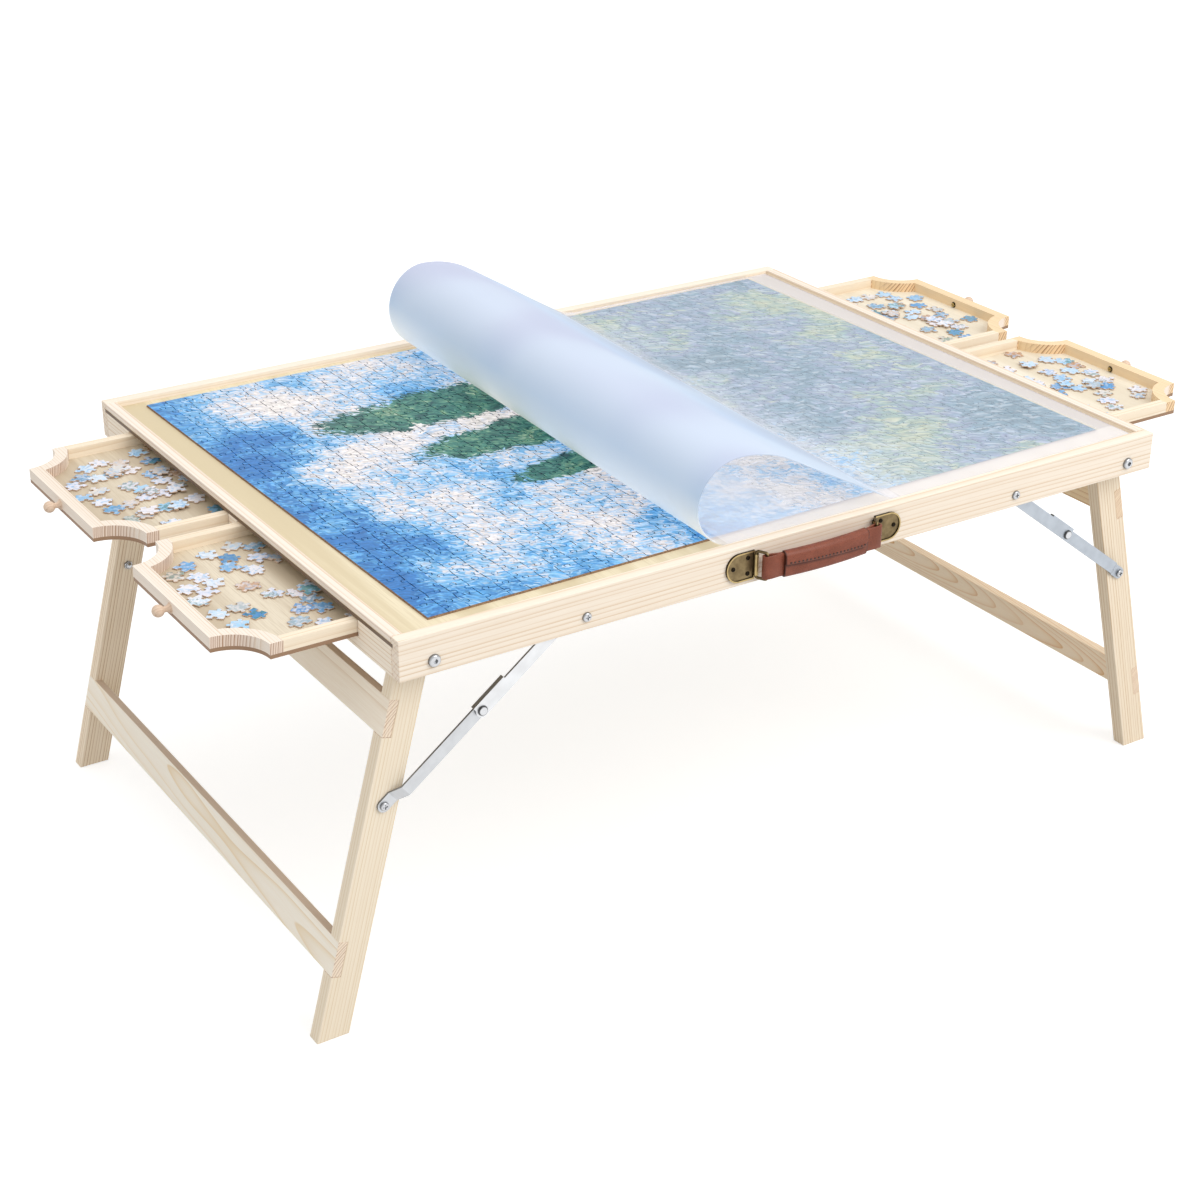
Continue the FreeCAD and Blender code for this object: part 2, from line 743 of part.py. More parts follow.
def stadium(x, y, half_slot, radius, low, height):
    """An upright prism with round ends, long along X."""
    edges = [line(V(x - half_slot, y - radius, low), V(x + half_slot, y - radius, low)),
             arc(V(x + half_slot, y - radius, low), V(x + half_slot + radius, y, low),
                 V(x + half_slot, y + radius, low)),
             line(V(x + half_slot, y + radius, low), V(x - half_slot, y + radius, low)),
             arc(V(x - half_slot, y + radius, low), V(x - half_slot - radius, y, low),
                 V(x - half_slot, y - radius, low))]
    return face_of(edges).extrude(V(0, 0, height))


def leather_grip():
    """The leather strap, bowed outwards, with a loop round each ring's bar."""
    low = handle_z - strap_height / 2
    outside = [p + V(0, 0, low) for p in strap_arc(strap_thickness / 2)]
    inside = [p + V(0, 0, low) for p in strap_arc(-strap_thickness / 2)]
    band = face_of([arc(*outside), line(outside[2], inside[2]),
                    arc(inside[2], inside[1], inside[0]), line(inside[0], outside[0])])
    grip = band.extrude(V(0, 0, strap_height))
    bore = ring_wire_radius + loop_gap
    for side in (-1, 1):
        x = side * ring_bar_x
        grip = grip.fuse(stadium(x, ring_bar_y, loop_slack, bore + loop_wall, low, strap_height))
    grip = grip.removeSplitter()
    for side in (-1, 1):
        x = side * ring_bar_x
        grip = grip.cut(stadium(x, ring_bar_y, loop_slack, bore, low, strap_height))
    return grip


# ------------------------------------------------------------------ picture and cover sheet
def jigsaw_picture():
    slab = block(picture_shift_x - picture_length / 2, picture_shift_x + picture_length / 2,
                 picture_shift_y - picture_width / 2, picture_shift_y + picture_width / 2,
                 board_top, board_top + picture_thickness)
    slab.rotate(V(picture_shift_x, picture_shift_y, 0), V(0, 0, 1), picture_turn)
    return slab


def cover_sheet():
    """The cover lies flat from the right end, curls back over itself and lands again."""
    t = cover_thickness
    y = -cover_width / 2
    flat_z = board_top + picture_thickness + cover_touch_gap + t / 2
    start_x = half_length - end_strip_width - cover_end_gap
    centre = V(roll_centre_x, y, flat_z + roll_radius)
    crest_centre = centre + V(0, 0, roll_radius - crest_radius)
    slope = math.radians(fall_angle)
    out = V(math.sin(slope), 0, math.cos(slope))              # square to the falling part
    fall = V(math.cos(slope), 0, -math.sin(slope))
    land_z = flat_z + t + cover_touch_gap
    drop = landing_radius * (1 - math.cos(slope))
    brow = crest_centre + out * crest_radius
    fall_length = (brow.z - land_z - drop) / math.sin(slope)
    bend = brow + fall * fall_length
    land_centre = bend + out * landing_radius
    half_turn = slope / 2
    middle_out = V(math.sin(half_turn), 0, math.cos(half_turn))

    def line_at(offset):
        """The sheet's faces: offset is towards the outside of the roll."""
        r = roll_radius + offset
        over = crest_radius + offset
        far = landing_radius - offset
        return {"start": V(start_x, y, centre.z - r), "under": centre + V(0, 0, -r),
                "left": centre + V(-r, 0, 0), "top": centre + V(0, 0, r),
                "crest": crest_centre + middle_out * over, "brow": crest_centre + out * over,
                "bend": land_centre - out * far, "mid": land_centre - middle_out * far,
                "end": land_centre + V(0, 0, -far)}

    outer = line_at(t / 2)
    inner = line_at(-t / 2)
    edges = [line(outer["start"], outer["under"]),
             arc(outer["under"], outer["left"], outer["top"]),
             arc(outer["top"], outer["crest"], outer["brow"]),
             line(outer["brow"], outer["bend"]),
             arc(outer["bend"], outer["mid"], outer["end"]),
             line(outer["end"], inner["end"]),
             arc(inner["end"], inner["mid"], inner["bend"]),
             line(inner["bend"], inner["brow"]),
             arc(inner["brow"], inner["crest"], inner["top"]),
             arc(inner["top"], inner["left"], inner["under"]),
             line(inner["under"], inner["start"]),
             line(inner["start"], outer["start"])]
    return face_of(edges).extrude(V(0, cover_width, 0))


# ------------------------------------------------------------------ origin and export
left_reach = half_length + left_pull + knob_length
right_reach = half_length + right_pull + knob_length
strap_front = -(ring_bar_y - strap_bow - strap_thickness / 2)
rear_reach = half_width + pivot_head_height
origin = V((right_reach - left_reach) / 2, (rear_reach - strap_front) / 2, 0)


def save(name, shapes):
    """Write one node, moved so that the origin is under the middle of the object."""
    solids = [s for shape in shapes for s in shape.Solids]
    node = solids[0] if len(solids) == 1 else Part.makeCompound(solids)
    node = node.copy()
    node.translate(origin * -1)
    node.exportStep("parts/" + name + ".step")
    print(name, "solids", len(solids), "volume", round(node.Volume, 1), "valid", node.isValid())


def save_table():
    save("front_rail", [long_rail(True)])
    save("rear_rail", [mirrored_y(long_rail(False))])
    save("left_end_strip", [end_strip()])
    save("right_end_strip", [mirrored_x(end_strip())])
    save("left_end_rail", [end_rail()])
    save("right_end_rail", [mirrored_x(end_rail())])
    save("play_board", [play_board()])
    save("centre_drawer_guide", [centre_guide()])
    save("front_drawer_guide", [front_guide()])
    save("rear_drawer_guide", [mirrored_y(front_guide())])


def save_fasteners():
    corners = [side * pivot_x for side in (-1, 1)]
    anchors = [side * brace_x for side in (-1, 1)]
    save("leg_pivot_bolts", [s for x in corners for s in both_sides(pivot_bolt(x))])
    save("leg_pivot_bushes", [s for x in corners for s in both_sides(pivot_bush(x))])
    save("leg_pivot_nuts", [s for x in corners for s in both_sides(pivot_nut(x))])
    save("brace_bolts", [s for x in anchors for s in both_sides(brace_bolt(x))])
    save("brace_bushes", [s for x in anchors for s in both_sides(brace_bush(x))])
    save("brace_nuts", [s for x in anchors for s in both_sides(brace_nut(x))])


def save_leg_frames():
    for name, place in (("left", lambda s: s), ("right", mirrored_x)):
        save(name + "_front_leg", [place(front_leg())])
        save(name + "_rear_leg", [place(mirrored_y(front_leg()))])
        save(name + "_upper_stretcher", [place(stretcher(upper_stretcher_start))])
        save(name + "_lower_stretcher", [place(stretcher(lower_stretcher_start))])
        save(name + "_upper_links", [place(s) for s in both_sides(upper_link())])
        save(name + "_lower_links", [place(s) for s in both_sides(lower_link())])
        save(name + "_knee_rivets", [place(s) for s in both_sides(knee_rivet())])
        save(name + "_leg_screws", [place(s) for s in both_sides(leg_screw())])


def save_drawers():
    parts = {"front": [drawer_front()], "sides": drawer_sides(),
             "bottom": [drawer_bottom_panel()], "knob": [drawer_knob()],
             "knob_screw": [drawer_knob_screw()]}
    for end_name, end in (("left", -1), ("right", 1)):
        for side_name, side in (("front", -1), ("rear", 1)):
            for part_name, shapes in parts.items():
                name = side_name + "_" + end_name + "_drawer_" + part_name
                save(name, placed_drawer_part(shapes, end, side))


def save_handle():
    save("handle_plates", [handle_plate(), mirrored_x(handle_plate())])
    save("handle_screws", [handle_screw(x, z) for x, z in plate_screw_places()])
    save("left_handle_ring", [handle_ring()])
    save("right_handle_ring", [mirrored_x(handle_ring())])
    save("leather_grip", [leather_grip()])


os.makedirs("parts", exist_ok=True)
save_table()
save_fasteners()
save_leg_frames()
save_drawers()
save_handle()
save("jigsaw_picture", [jigsaw_picture()])
save("cover_sheet", [cover_sheet()])
print("origin", origin, "reaches", left_reach, right_reach, strap_front, rear_reach)
print("links", upper_link_length, lower_link_length, "brace angle",
      math.degrees(math.atan2(along_brace.z, along_brace.x)))
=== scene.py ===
# %% [markdown]
# # A folding jigsaw table with four drawers
# The construction model is finished and fixed: rails, legs, drawers, braces and bolts all stand at
# their real size.  This notebook dresses it.  It gives every wooden, metal and plastic surface its
# finish, and it models what a construction model leaves plain: the cut jigsaw, the loose pieces in
# the drawers, the rolled-back cover sheet, the leather grip and the nuts inside the legs.

# %% Load the fixed frame
import math
import random

import bpy
from mathutils import Euler, Matrix, Vector


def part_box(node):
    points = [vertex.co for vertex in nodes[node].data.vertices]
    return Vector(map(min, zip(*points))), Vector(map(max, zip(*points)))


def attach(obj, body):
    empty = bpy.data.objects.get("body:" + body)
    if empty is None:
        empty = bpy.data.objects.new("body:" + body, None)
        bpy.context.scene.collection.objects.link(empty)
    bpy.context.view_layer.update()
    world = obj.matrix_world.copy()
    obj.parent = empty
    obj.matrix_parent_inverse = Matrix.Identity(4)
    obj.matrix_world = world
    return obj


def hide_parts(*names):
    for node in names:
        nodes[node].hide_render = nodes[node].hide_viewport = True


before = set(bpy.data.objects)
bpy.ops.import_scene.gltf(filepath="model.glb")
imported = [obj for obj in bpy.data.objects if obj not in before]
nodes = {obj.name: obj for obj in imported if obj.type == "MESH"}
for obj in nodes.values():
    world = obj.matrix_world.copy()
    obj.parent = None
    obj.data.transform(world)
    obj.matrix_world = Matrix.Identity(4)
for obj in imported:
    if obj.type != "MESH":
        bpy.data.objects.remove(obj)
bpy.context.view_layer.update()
board_low, board_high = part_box("play_board")
table_middle = (board_low + board_high) / 2
print("nodes", len(nodes), "table middle", tuple(round(v, 4) for v in table_middle))

# %% [markdown]
# ## The camera
# The table is seen from its front left corner, from a little above, with a long lens, so that the
# long edges stay almost parallel.  The three angles turn into three directions, and those
# directions are the columns of the camera's rotation matrix.

# %% Place the camera
camera_place = Vector((-1.1397, -1.6825, 1.1765))
camera_yaw = math.radians(33.162)
camera_pitch = math.radians(26.212)
camera_roll = math.radians(0.412)
camera_lens = 66.325

ahead = Vector((math.sin(camera_yaw) * math.cos(camera_pitch),
                math.cos(camera_yaw) * math.cos(camera_pitch), -math.sin(camera_pitch)))
level_right = Vector((math.cos(camera_yaw), -math.sin(camera_yaw), 0))
level_up = level_right.cross(ahead)
camera_right = level_right * math.cos(camera_roll) + level_up * math.sin(camera_roll)
camera_up = level_up * math.cos(camera_roll) - level_right * math.sin(camera_roll)

bpy.ops.object.camera_add(location=camera_place)
camera = bpy.context.object
camera.rotation_euler = Matrix((camera_right, camera_up, -ahead)).transposed().to_euler()
camera.data.lens = camera_lens
camera.data.sensor_width = 36
bpy.context.scene.camera = camera
print("camera at", tuple(camera_place), "lens", camera_lens)

# %% [markdown]
# ## Helpers for node trees
# A material is mostly arithmetic on values that change from place to place.  The class below wraps
# a node's output, so that plus, minus, times and power write the math nodes themselves, and a
# material reads like the sum that it is.

# %% Node helpers
class Field:
    """What a node's output gives at every place; arithmetic on it adds nodes to its tree."""
    def __init__(self, socket):
        self.socket = socket
        self.tree = socket.id_data

    def is_vector(self):
        return self.socket.type in ("VECTOR", "RGBA")

    def __add__(self, other):
        return reckon("ADD", self, other)

    def __sub__(self, other):
        return reckon("SUBTRACT", self, other)

    def __rsub__(self, other):
        return reckon("SUBTRACT", other, self)

    def __mul__(self, other):
        return reckon("MULTIPLY", self, other)

    def __truediv__(self, other):
        return reckon("DIVIDE", self, other)

    def __pow__(self, other):
        return reckon("POWER", self, other)


def feed(socket, value):
    """Link a field or an output to an input, or write a constant into it."""
    value = getattr(value, "socket", value)
    if isinstance(value, bpy.types.NodeSocket):
        socket.id_data.links.new(value, socket)
    else:
        socket.default_value = (*value, 1) if socket.type == "RGBA" else value


def connect(node, **feeds):
    """Feed a node's inputs by their names."""
    for label, value in feeds.items():
        feed(node.inputs[label.replace("_", " ")], value)


def put(tree, kind, feeds, **settings):
    """Add a shader node; feeds maps an input's name or number to what it gets."""
    made = tree.nodes.new("ShaderNode" + kind)
    for key, value in settings.items():
        setattr(made, key, value)
    for key, value in feeds.items():
        feed(made.inputs[key], value)
    return made


def tree_of(values):
    return next(value.tree for value in values if isinstance(value, Field))


def reckon(operation, *values):
    """A math node, or a vector math node where one of the values is a vector."""
    vectors = any(value.is_vector() if isinstance(value, Field) else isinstance(value, tuple)
                  for value in values)
    kind = "VectorMath" if vectors else "Math"
    made = put(tree_of(values), kind, dict(enumerate(values)), operation=operation)
    return Field(made.outputs["Value" if operation in ("LENGTH", "DOT_PRODUCT") else 0])


def clamped(value):
    return Field(put(value.tree, "Clamp", {0: value}).outputs[0])


def parts(vector):
    """The X, Y and Z of a vector."""
    return [Field(part) for part in put(vector.tree, "SeparateXYZ", {0: vector}).outputs]


def rotate_z(vector, angle, centre=(0.0, 0.0, 0.0)):
    feeds = {"Vector": vector, "Angle": angle, "Center": centre}
    return Field(put(vector.tree, "VectorRotate", feeds, rotation_type="Z_AXIS").outputs[0])


def noise(vector, scale, detail=2.0, roughness=0.5, output="Fac"):
    feeds = {"Vector": vector, "Scale": scale, "Detail": detail, "Roughness": roughness}
    return Field(put(vector.tree, "TexNoise", feeds).outputs[output])


def spread(value, low, high, out_low=0.0, out_high=1.0, smooth=True):
    """Map value from low..high to out_low..out_high, held at both ends."""
    kind = "SMOOTHSTEP" if smooth else "LINEAR"
    feeds = dict(enumerate((value, low, high, out_low, out_high)))
    return Field(put(value.tree, "MapRange", feeds, interpolation_type=kind).outputs[0])


def mix(factor, first, second, blend="MIX"):
    made = put(tree_of((factor, first, second)), "Mix", {0: factor}, data_type="RGBA",
               blend_type=blend)
    feed(made.inputs[6], first)
    feed(made.inputs[7], second)
    return Field(made.outputs[2])


def ramp(value, stops):
    """A colour ramp; stops are (position, colour)."""
    made = put(value.tree, "ValToRGB", {0: value})
    band = made.color_ramp
    while len(band.elements) < len(stops):
        band.elements.new(0.5)
    for element, (position, colour) in zip(band.elements, stops):
        element.position = position
        element.color = (*colour, 1)
    return Field(made.outputs[0])


def stored(tree, name, output="Fac"):
    """What the mesh stores under a name."""
    return Field(put(tree, "Attribute", {}, attribute_name=name).outputs[output])


def new_group(name, inputs, outputs):
    """A node group: its tree, a field for each input, and the node that takes its outputs."""
    tree = bpy.data.node_groups.new(name, "ShaderNodeTree")
    for label, kind in inputs:
        tree.interface.new_socket(name=label, in_out="INPUT", socket_type="NodeSocket" + kind)
    for label, kind in outputs:
        tree.interface.new_socket(name=label, in_out="OUTPUT", socket_type="NodeSocket" + kind)
    given = tree.nodes.new("NodeGroupInput").outputs
    return tree, [Field(given[label]) for label, kind in inputs], tree.nodes.new("NodeGroupOutput")


def use_group(group, **feeds):
    made = put(tree_of(feeds.values()), "Group", {}, node_tree=group)
    connect(made, **feeds)
    return {output.name: Field(output) for output in made.outputs}


def new_material(name, **fixed):
    """A material, its shader, and fields for the place and the direction of its surface."""
    material = bpy.data.materials.new(name)
    material.use_nodes = True
    shader = material.node_tree.nodes["Principled BSDF"]
    connect(shader, **fixed)
    seen = put(material.node_tree, "TexCoord", {}).outputs
    return material, shader, Field(seen["Object"]), Field(seen["Normal"])


def add_bump(shader, height, strength, distance):
    feeds = {"Height": height, "Strength": strength, "Distance": distance}
    connect(shader, Normal=put(height.tree, "Bump", feeds).outputs["Normal"])


def paint(material, *names):
    """Give CAD nodes their material."""
    for name in names:
        nodes[name].data.materials.clear()
        nodes[name].data.materials.append(material)


print("node helpers ready")

# %% [markdown]
# ## Floor, world and lamps
# The table stands in a white studio.  The floor and the world only look white to the camera and to
# reflections; what they give to the object is plain soft light.  The floor keeps a faint shadow,
# because part of its white is light that the object can block.

# %% Build the studio
ambient_strength = 0.80
lamps = {"key_light": (Vector((1.3, -3.0, 2.9)), 2.6, 70.0),     # place, size, power
         "top_light": (Vector((-0.3, 0.4, 3.4)), 3.0, 20.0)}
lamp_target = Vector((0, 0, 0.3))
floor_size = 14
floor_gap = 0.0004
floor_colour = (0.6, 0.6, 0.6)
floor_glow = 0.58


def seen_directly(tree):
    """1 for camera, glossy and transmission rays, 0 for the light that the object receives."""
    rays = put(tree, "LightPath", {}).outputs
    direct = reckon("MAXIMUM", Field(rays["Is Camera Ray"]), Field(rays["Is Glossy Ray"]))
    return reckon("MAXIMUM", direct, Field(rays["Is Transmission Ray"]))


def light_world():
    world = bpy.data.worlds.new("white_studio")
    world.use_nodes = True
    bpy.context.scene.world = world
    strength = spread(seen_directly(world.node_tree), 0, 1, ambient_strength, 1.0, smooth=False)
    connect(world.node_tree.nodes["Background"], Color=(1, 1, 1), Strength=strength)


def lay_floor():
    bpy.ops.mesh.primitive_plane_add(size=floor_size, location=(0, 0, -floor_gap))
    floor = bpy.context.object
    floor.name = "floor"
    material, shader, place, normal = new_material("white_floor", Roughness=0.9,
                                                   Base_Color=floor_colour)
    tree = material.node_tree
    glow = put(tree, "Emission", {"Color": (1, 1, 1), "Strength": floor_glow})
    lit = put(tree, "AddShader", {0: shader.outputs[0], 1: glow.outputs[0]})
    seen = put(tree, "MixShader", {0: seen_directly(tree), 1: shader.outputs[0],
                                   2: lit.outputs[0]})
    connect(tree.nodes["Material Output"], Surface=seen.outputs[0])
    floor.data.materials.append(material)


light_world()
lay_floor()
for name, (place, size, power) in lamps.items():
    bpy.ops.object.light_add(type="AREA", location=place)
    lamp = bpy.context.object
    lamp.name = name
    lamp.data.size = size
    lamp.data.energy = power
    lamp.rotation_euler = (lamp_target - place).to_track_quat("-Z", "Y").to_euler()
bpy.context.scene.view_settings.view_transform = "Standard"
print("studio lit by", len(lamps), "lamps")

# %% [markdown]
# ## Pine
# A plank is a slice of a tree, so its pattern is one thing seen from several sides: lines along the
# board, flames on a flat face, arcs on the sawn end.  The group below builds the tree itself.  It
# measures the distance from the pith, which runs along X, wobbles it a little along the trunk and
# cuts it into rings.  Each board then places its own pith, so no two boards match.

# %% Build the wood grain group
def wood_grain_group():
    tree, (vector, ring_width, wander), result = new_group(
        "wood_grain", [("Vector", "Vector"), ("Ring Width", "Float"), ("Wander", "Float")],
        [("Late Wood", "Float"), ("Fibre", "Float"), ("Shade", "Float"), ("Height", "Float")])
    wave = noise(vector * (0.22, 1.0, 1.0), 11.0) - 0.5
    radius = wave * wander + reckon("LENGTH", vector * (0.0, 1.0, 1.0))
    season = put(tree, "TexNoise", {"W": radius * 150.0, "Scale": 1.0, "Detail": 1.0},
                 noise_dimensions="1D").outputs["Fac"]
    rings = (radius + (Field(season) - 0.5) * ring_width) / ring_width
    phase = reckon("FRACT", rings)
    rise = phase ** 2.0 * 0.14 + phase ** 6.0
    luck = put(tree, "TexWhiteNoise", {"W": reckon("FLOOR", rings)}, noise_dimensions="1D")
    line = rise * spread(phase, 0.96, 1.0, 1.0, 0.0)
    line = line * spread(Field(luck.outputs["Value"]), 0.0, 1.0, 0.35, 1.0, smooth=False)
    fibre = noise(vector * (22.0, 900.0, 900.0), 1.0, roughness=0.6)
    shade = noise(vector * (1.6, 14.0, 14.0), 1.0)
    connect(result, Late_Wood=line, Fibre=fibre, Shade=shade, Height=fibre * 0.5 + line * 0.5)
    return tree


wood_grain = wood_grain_group()
print("group", wood_grain.name)

# %% [markdown]
# Sawn ends drink light and dust, so they look pinker and darker, and their rings are sharper.  The
# mask compares the surface's direction with the grain's direction: they agree only at the ends and
# inside the hollow corners of the drawer fronts.

# %% Make a pine material for one board
early_wood, late_wood = (0.955, 0.86, 0.74), (0.62, 0.39, 0.17)
golden_wood, golden_line = (0.935, 0.82, 0.655), (0.56, 0.34, 0.14)
orange_wood, orange_line = (0.96, 0.77, 0.52), (0.60, 0.32, 0.11)
end_wood, end_line = (0.86, 0.70, 0.54), (0.36, 0.17, 0.08)
end_line_strength = 2.6
X_AXIS = Vector((1, 0, 0))
Y_AXIS = Vector((0, 1, 0))


def grain_frame(along, centre, pith, tilt):
    """Rotation and offset that turn the grain to X and put the pith where it belongs."""
    turn = Euler((0, tilt, tilt * 0.6)).to_matrix() @ along.rotation_difference(X_AXIS).to_matrix()
    return turn.to_euler(), Vector(pith) - turn @ centre


def pine(name, centre, along, pith, ring_width=0.0034, wander=0.004, tilt=0.0, contrast=1.0,
         light=early_wood, dark=late_wood, end_pith=(0.05, 0.055), end_rings=0.0036, ends=1.0,
         sawn_light=end_wood, sanded=None, shaded_top_edge=None):
    """Bare planed pine, its grain along a direction, with the pith at an offset from centre.

    sanded is the colour of cut ends that face right and were sanded clean; the colour given for
    the upper edge is painted shade, on an edge that faces up under the table.
    """
    material, shader, place, normal = new_material(name, Roughness=0.58, Specular_IOR_Level=0.3)

    def grain(offset, ring_width, tilt):
        rotation, location = grain_frame(along, centre, offset, tilt)
        turned = put(place.tree, "Mapping", {"Vector": place, "Rotation": rotation,
                                             "Location": location}).outputs[0]
        return use_group(wood_grain, Vector=Field(turned), Ring_Width=ring_width, Wander=wander)

    plank = grain(pith, ring_width, tilt)
    sawn_end = grain((pith[0], *end_pith), end_rings, 0.0)
    rightward, rearward, upward = parts(normal)
    flat = mix(clamped(plank["Late Wood"] * contrast), light, dark)
    flat = mix(spread(plank["Fibre"], 0.3, 0.75, 0.0, 0.13 * contrast), flat, dark)
    between = tuple((a + b) / 2 for a, b in zip(light, dark))
    flat = mix(spread(plank["Shade"], 0.35, 0.75, 0.0, 0.16), flat, between)
    # Painted shade: faces turned upwards take the upper edge's darker colour, for the shade under the
    # table.
    if shaded_top_edge:
        flat = mix(spread(upward, 0.85, 0.95, 0.0, 0.8), flat, shaded_top_edge)
    sawn = mix(clamped(sawn_end["Late Wood"] * end_line_strength), sawn_light, end_line)
    if sanded:
        sawn = mix(spread(rightward, 0.1, 0.3, 0.0, 0.85), sawn, sanded)
    facing = reckon("ABSOLUTE", reckon("DOT_PRODUCT", normal, tuple(along)))
    connect(shader, Base_Color=mix(spread(facing, 0.35, 0.80, 0.0, ends), flat, sawn))
    add_bump(shader, plank["Height"], 0.25, 0.0002)
    return material


def give_pine(name, along, pith, **look):
    low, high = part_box(name)
    paint(pine("pine_" + name, (low + high) / 2, along, pith, **look), name)


print("pine recipe ready")

# %% [markdown]
# The long rails are cut so that their faces show fine even lines, and their tops are almost plain.
# The stretchers are flat-sawn, with the pith close behind the face and slightly askew, which opens
# the lines into long flames.  The legs have their pith far off one corner, so that two faces that
# meet are both closely lined.

# %% Dress the frame, the guides and the leg frames
dice = random.Random(11)
leg_lean = math.radians(14.8)
# painted shade for the stretchers' upper edges, which face up into the table's underside
top_edge_shade = (0.53, 0.385, 0.28)
# Painted shade: the drawer guides under the board get a darker copy of the frame's pine.
guide_shade = 0.92
guide_look = dict(light=tuple(guide_shade * v for v in early_wood),
                  dark=tuple(guide_shade * v for v in late_wood))
# Partly painted light: the near-white pine of the left rear leg, the left stretchers and the right
# lower stretcher is lifted so that faces in shade under the table come out bright.
leg_looks = {
    "left_front": dict(contrast=0.85, light=(0.925, 0.82, 0.665), dark=(0.62, 0.42, 0.17)),
    "left_rear": dict(contrast=1.5, light=(1.0, 0.87, 0.69), dark=(0.50, 0.29, 0.12))}
plain_leg = dict(contrast=1.35, light=golden_wood, dark=golden_line)
upper_looks = {"left": dict(light=(1.0, 0.91, 0.77), dark=golden_line, shaded_top_edge=top_edge_shade),
               "right": dict(light=orange_wood, dark=orange_line)}
lower_looks = {"left": dict(light=(1.0, 0.935, 0.82), dark=(0.84, 0.65, 0.40), tilt=0.045,
                            ring_width=0.0036, shaded_top_edge=top_edge_shade),
               "right": dict(light=(1.0, 0.85, 0.66), dark=(0.76, 0.45, 0.20), tilt=0.085,
                             ring_width=0.0026)}


def lengthwise():
    """A random place along the trunk."""
    return dice.uniform(-3, 3)


for rail, drop_to_pith in (("front_rail", -0.058), ("rear_rail", -0.071)):
    give_pine(rail, X_AXIS, (lengthwise(), 0.012, drop_to_pith), ring_width=0.0044, wander=0.008,
              contrast=0.95, ends=0.25)
for end in ("left", "right"):
    give_pine(end + "_end_strip", Y_AXIS, (lengthwise(), 0.03, -0.05), contrast=0.7,
              light=(0.94, 0.84, 0.74))
    # Partly painted light: the end rails' near-white pine lifts faces that lie in shade.
    give_pine(end + "_end_rail", Y_AXIS, (lengthwise(), 0.02, -0.06), contrast=1.1,
              ring_width=0.0038, light=(1.0, 0.91, 0.78))
for guide in ("centre", "front", "rear"):
    give_pine(guide + "_drawer_guide", X_AXIS, (lengthwise(), 0.03, -0.04), contrast=0.8,
              **guide_look)
for end, sign, face_to_pith in (("left", -1, 0.034), ("right", 1, -0.030)):
    down_leg = Vector((sign * math.sin(leg_lean), 0, -math.cos(leg_lean)))
    for leg in (end + "_front", end + "_rear"):
        give_pine(leg + "_leg", down_leg, (lengthwise(), 0.050, 0.062), ring_width=0.0027,
                  wander=0.005, **leg_looks.get(leg, plain_leg))
    give_pine(end + "_upper_stretcher", Y_AXIS, (lengthwise(), 0.055, 0.02), tilt=0.01,
              contrast=1.1, end_rings=0.0024, ends=0.65, **upper_looks[end])
    give_pine(end + "_lower_stretcher", Y_AXIS, (lengthwise(), face_to_pith, 0.004), wander=0.014,
              contrast=1.2, end_rings=0.0024, ends=0.75, **lower_looks[end])
print("frame and leg frames dressed")

# %% [markdown]
# Each drawer front is cut from wood whose rings stand upright and parallel to its face.  That is
# why the hollow corners, which cut across the grain, show a comb of short dark lines.

# %% Dress the drawers
drawer_ends = {side + "_" + end + "_drawer": end for end in ("left", "right")
               for side in ("front", "rear")}
# Partly painted light: the right fronts' warmer, more orange pine stands in for warm light bounced
# into their shaded inner faces.
front_looks = {"left": dict(light=(0.92, 0.83, 0.73), end_pith=(0.16, 0.015), end_rings=0.0020,
                            sawn_light=(0.80, 0.66, 0.55)),
               "right": dict(light=(0.92, 0.72, 0.465), end_pith=(0.13, 0.075), end_rings=0.0032,
                             sawn_light=(0.90, 0.66, 0.40), sanded=(0.97, 0.86, 0.76))}
for drawer, end in drawer_ends.items():
    give_pine(drawer + "_front", Y_AXIS, (lengthwise(), 0.16, 0.01), ring_width=0.0030,
              contrast=0.8, dark=golden_line, **front_looks[end])
    give_pine(drawer + "_sides", X_AXIS, (lengthwise(), 0.05, -0.035), contrast=0.8,
              light=golden_wood)
print("drawers dressed")

# %% [markdown]
# ## Plywood
# The play board and the drawer bottoms are thin plywood: a calm, slightly greenish yellow face
# with fine streaks across the table, and an edge that the laser has scorched brown.

# %% Make the plywood
veneer_stretch = (26.0, 1.2, 26.0)
thread_stretch = (800.0, 25.0, 800.0)


def plywood(name, face_light, face_dark, edge_colour=(0.33, 0.20, 0.12)):
    material, shader, place, normal = new_material(name, Roughness=0.5, Specular_IOR_Level=0.35)
    veneer = noise(place * veneer_stretch, 1.0, 4.0, 0.6)
    thread = noise(place * thread_stretch, 1.0, roughness=0.6)
    face = mix(spread(veneer, 0.38, 0.66), face_light, face_dark)
    face = mix(spread(thread, 0.42, 0.7, 0.0, 0.55), face, face_dark)
    edge = spread(reckon("ABSOLUTE", parts(normal)[2]), 0.3, 0.7, 1.0, 0.0)
    connect(shader, Base_Color=mix(edge, face, edge_colour))
    add_bump(shader, thread, 0.12, 0.0002)
    return material


# Painted shade and light: the drawer bottoms are one plywood in a shaded copy on the left and a lit
# copy on the right.
bottoms = {"left": plywood("shaded_left_bottom_plywood", (0.78, 0.69, 0.54), (0.56, 0.46, 0.33)),
           "right": plywood("lit_right_bottom_plywood", (0.92, 0.85, 0.71), (0.76, 0.67, 0.52))}
paint(plywood("play_board_plywood", (0.84, 0.74, 0.53), (0.68, 0.57, 0.37), (0.16, 0.10, 0.06)),
      "play_board")
for drawer, end in drawer_ends.items():
    paint(bottoms[end], drawer + "_bottom")
print("plywood on", 1 + len(drawer_ends), "nodes")

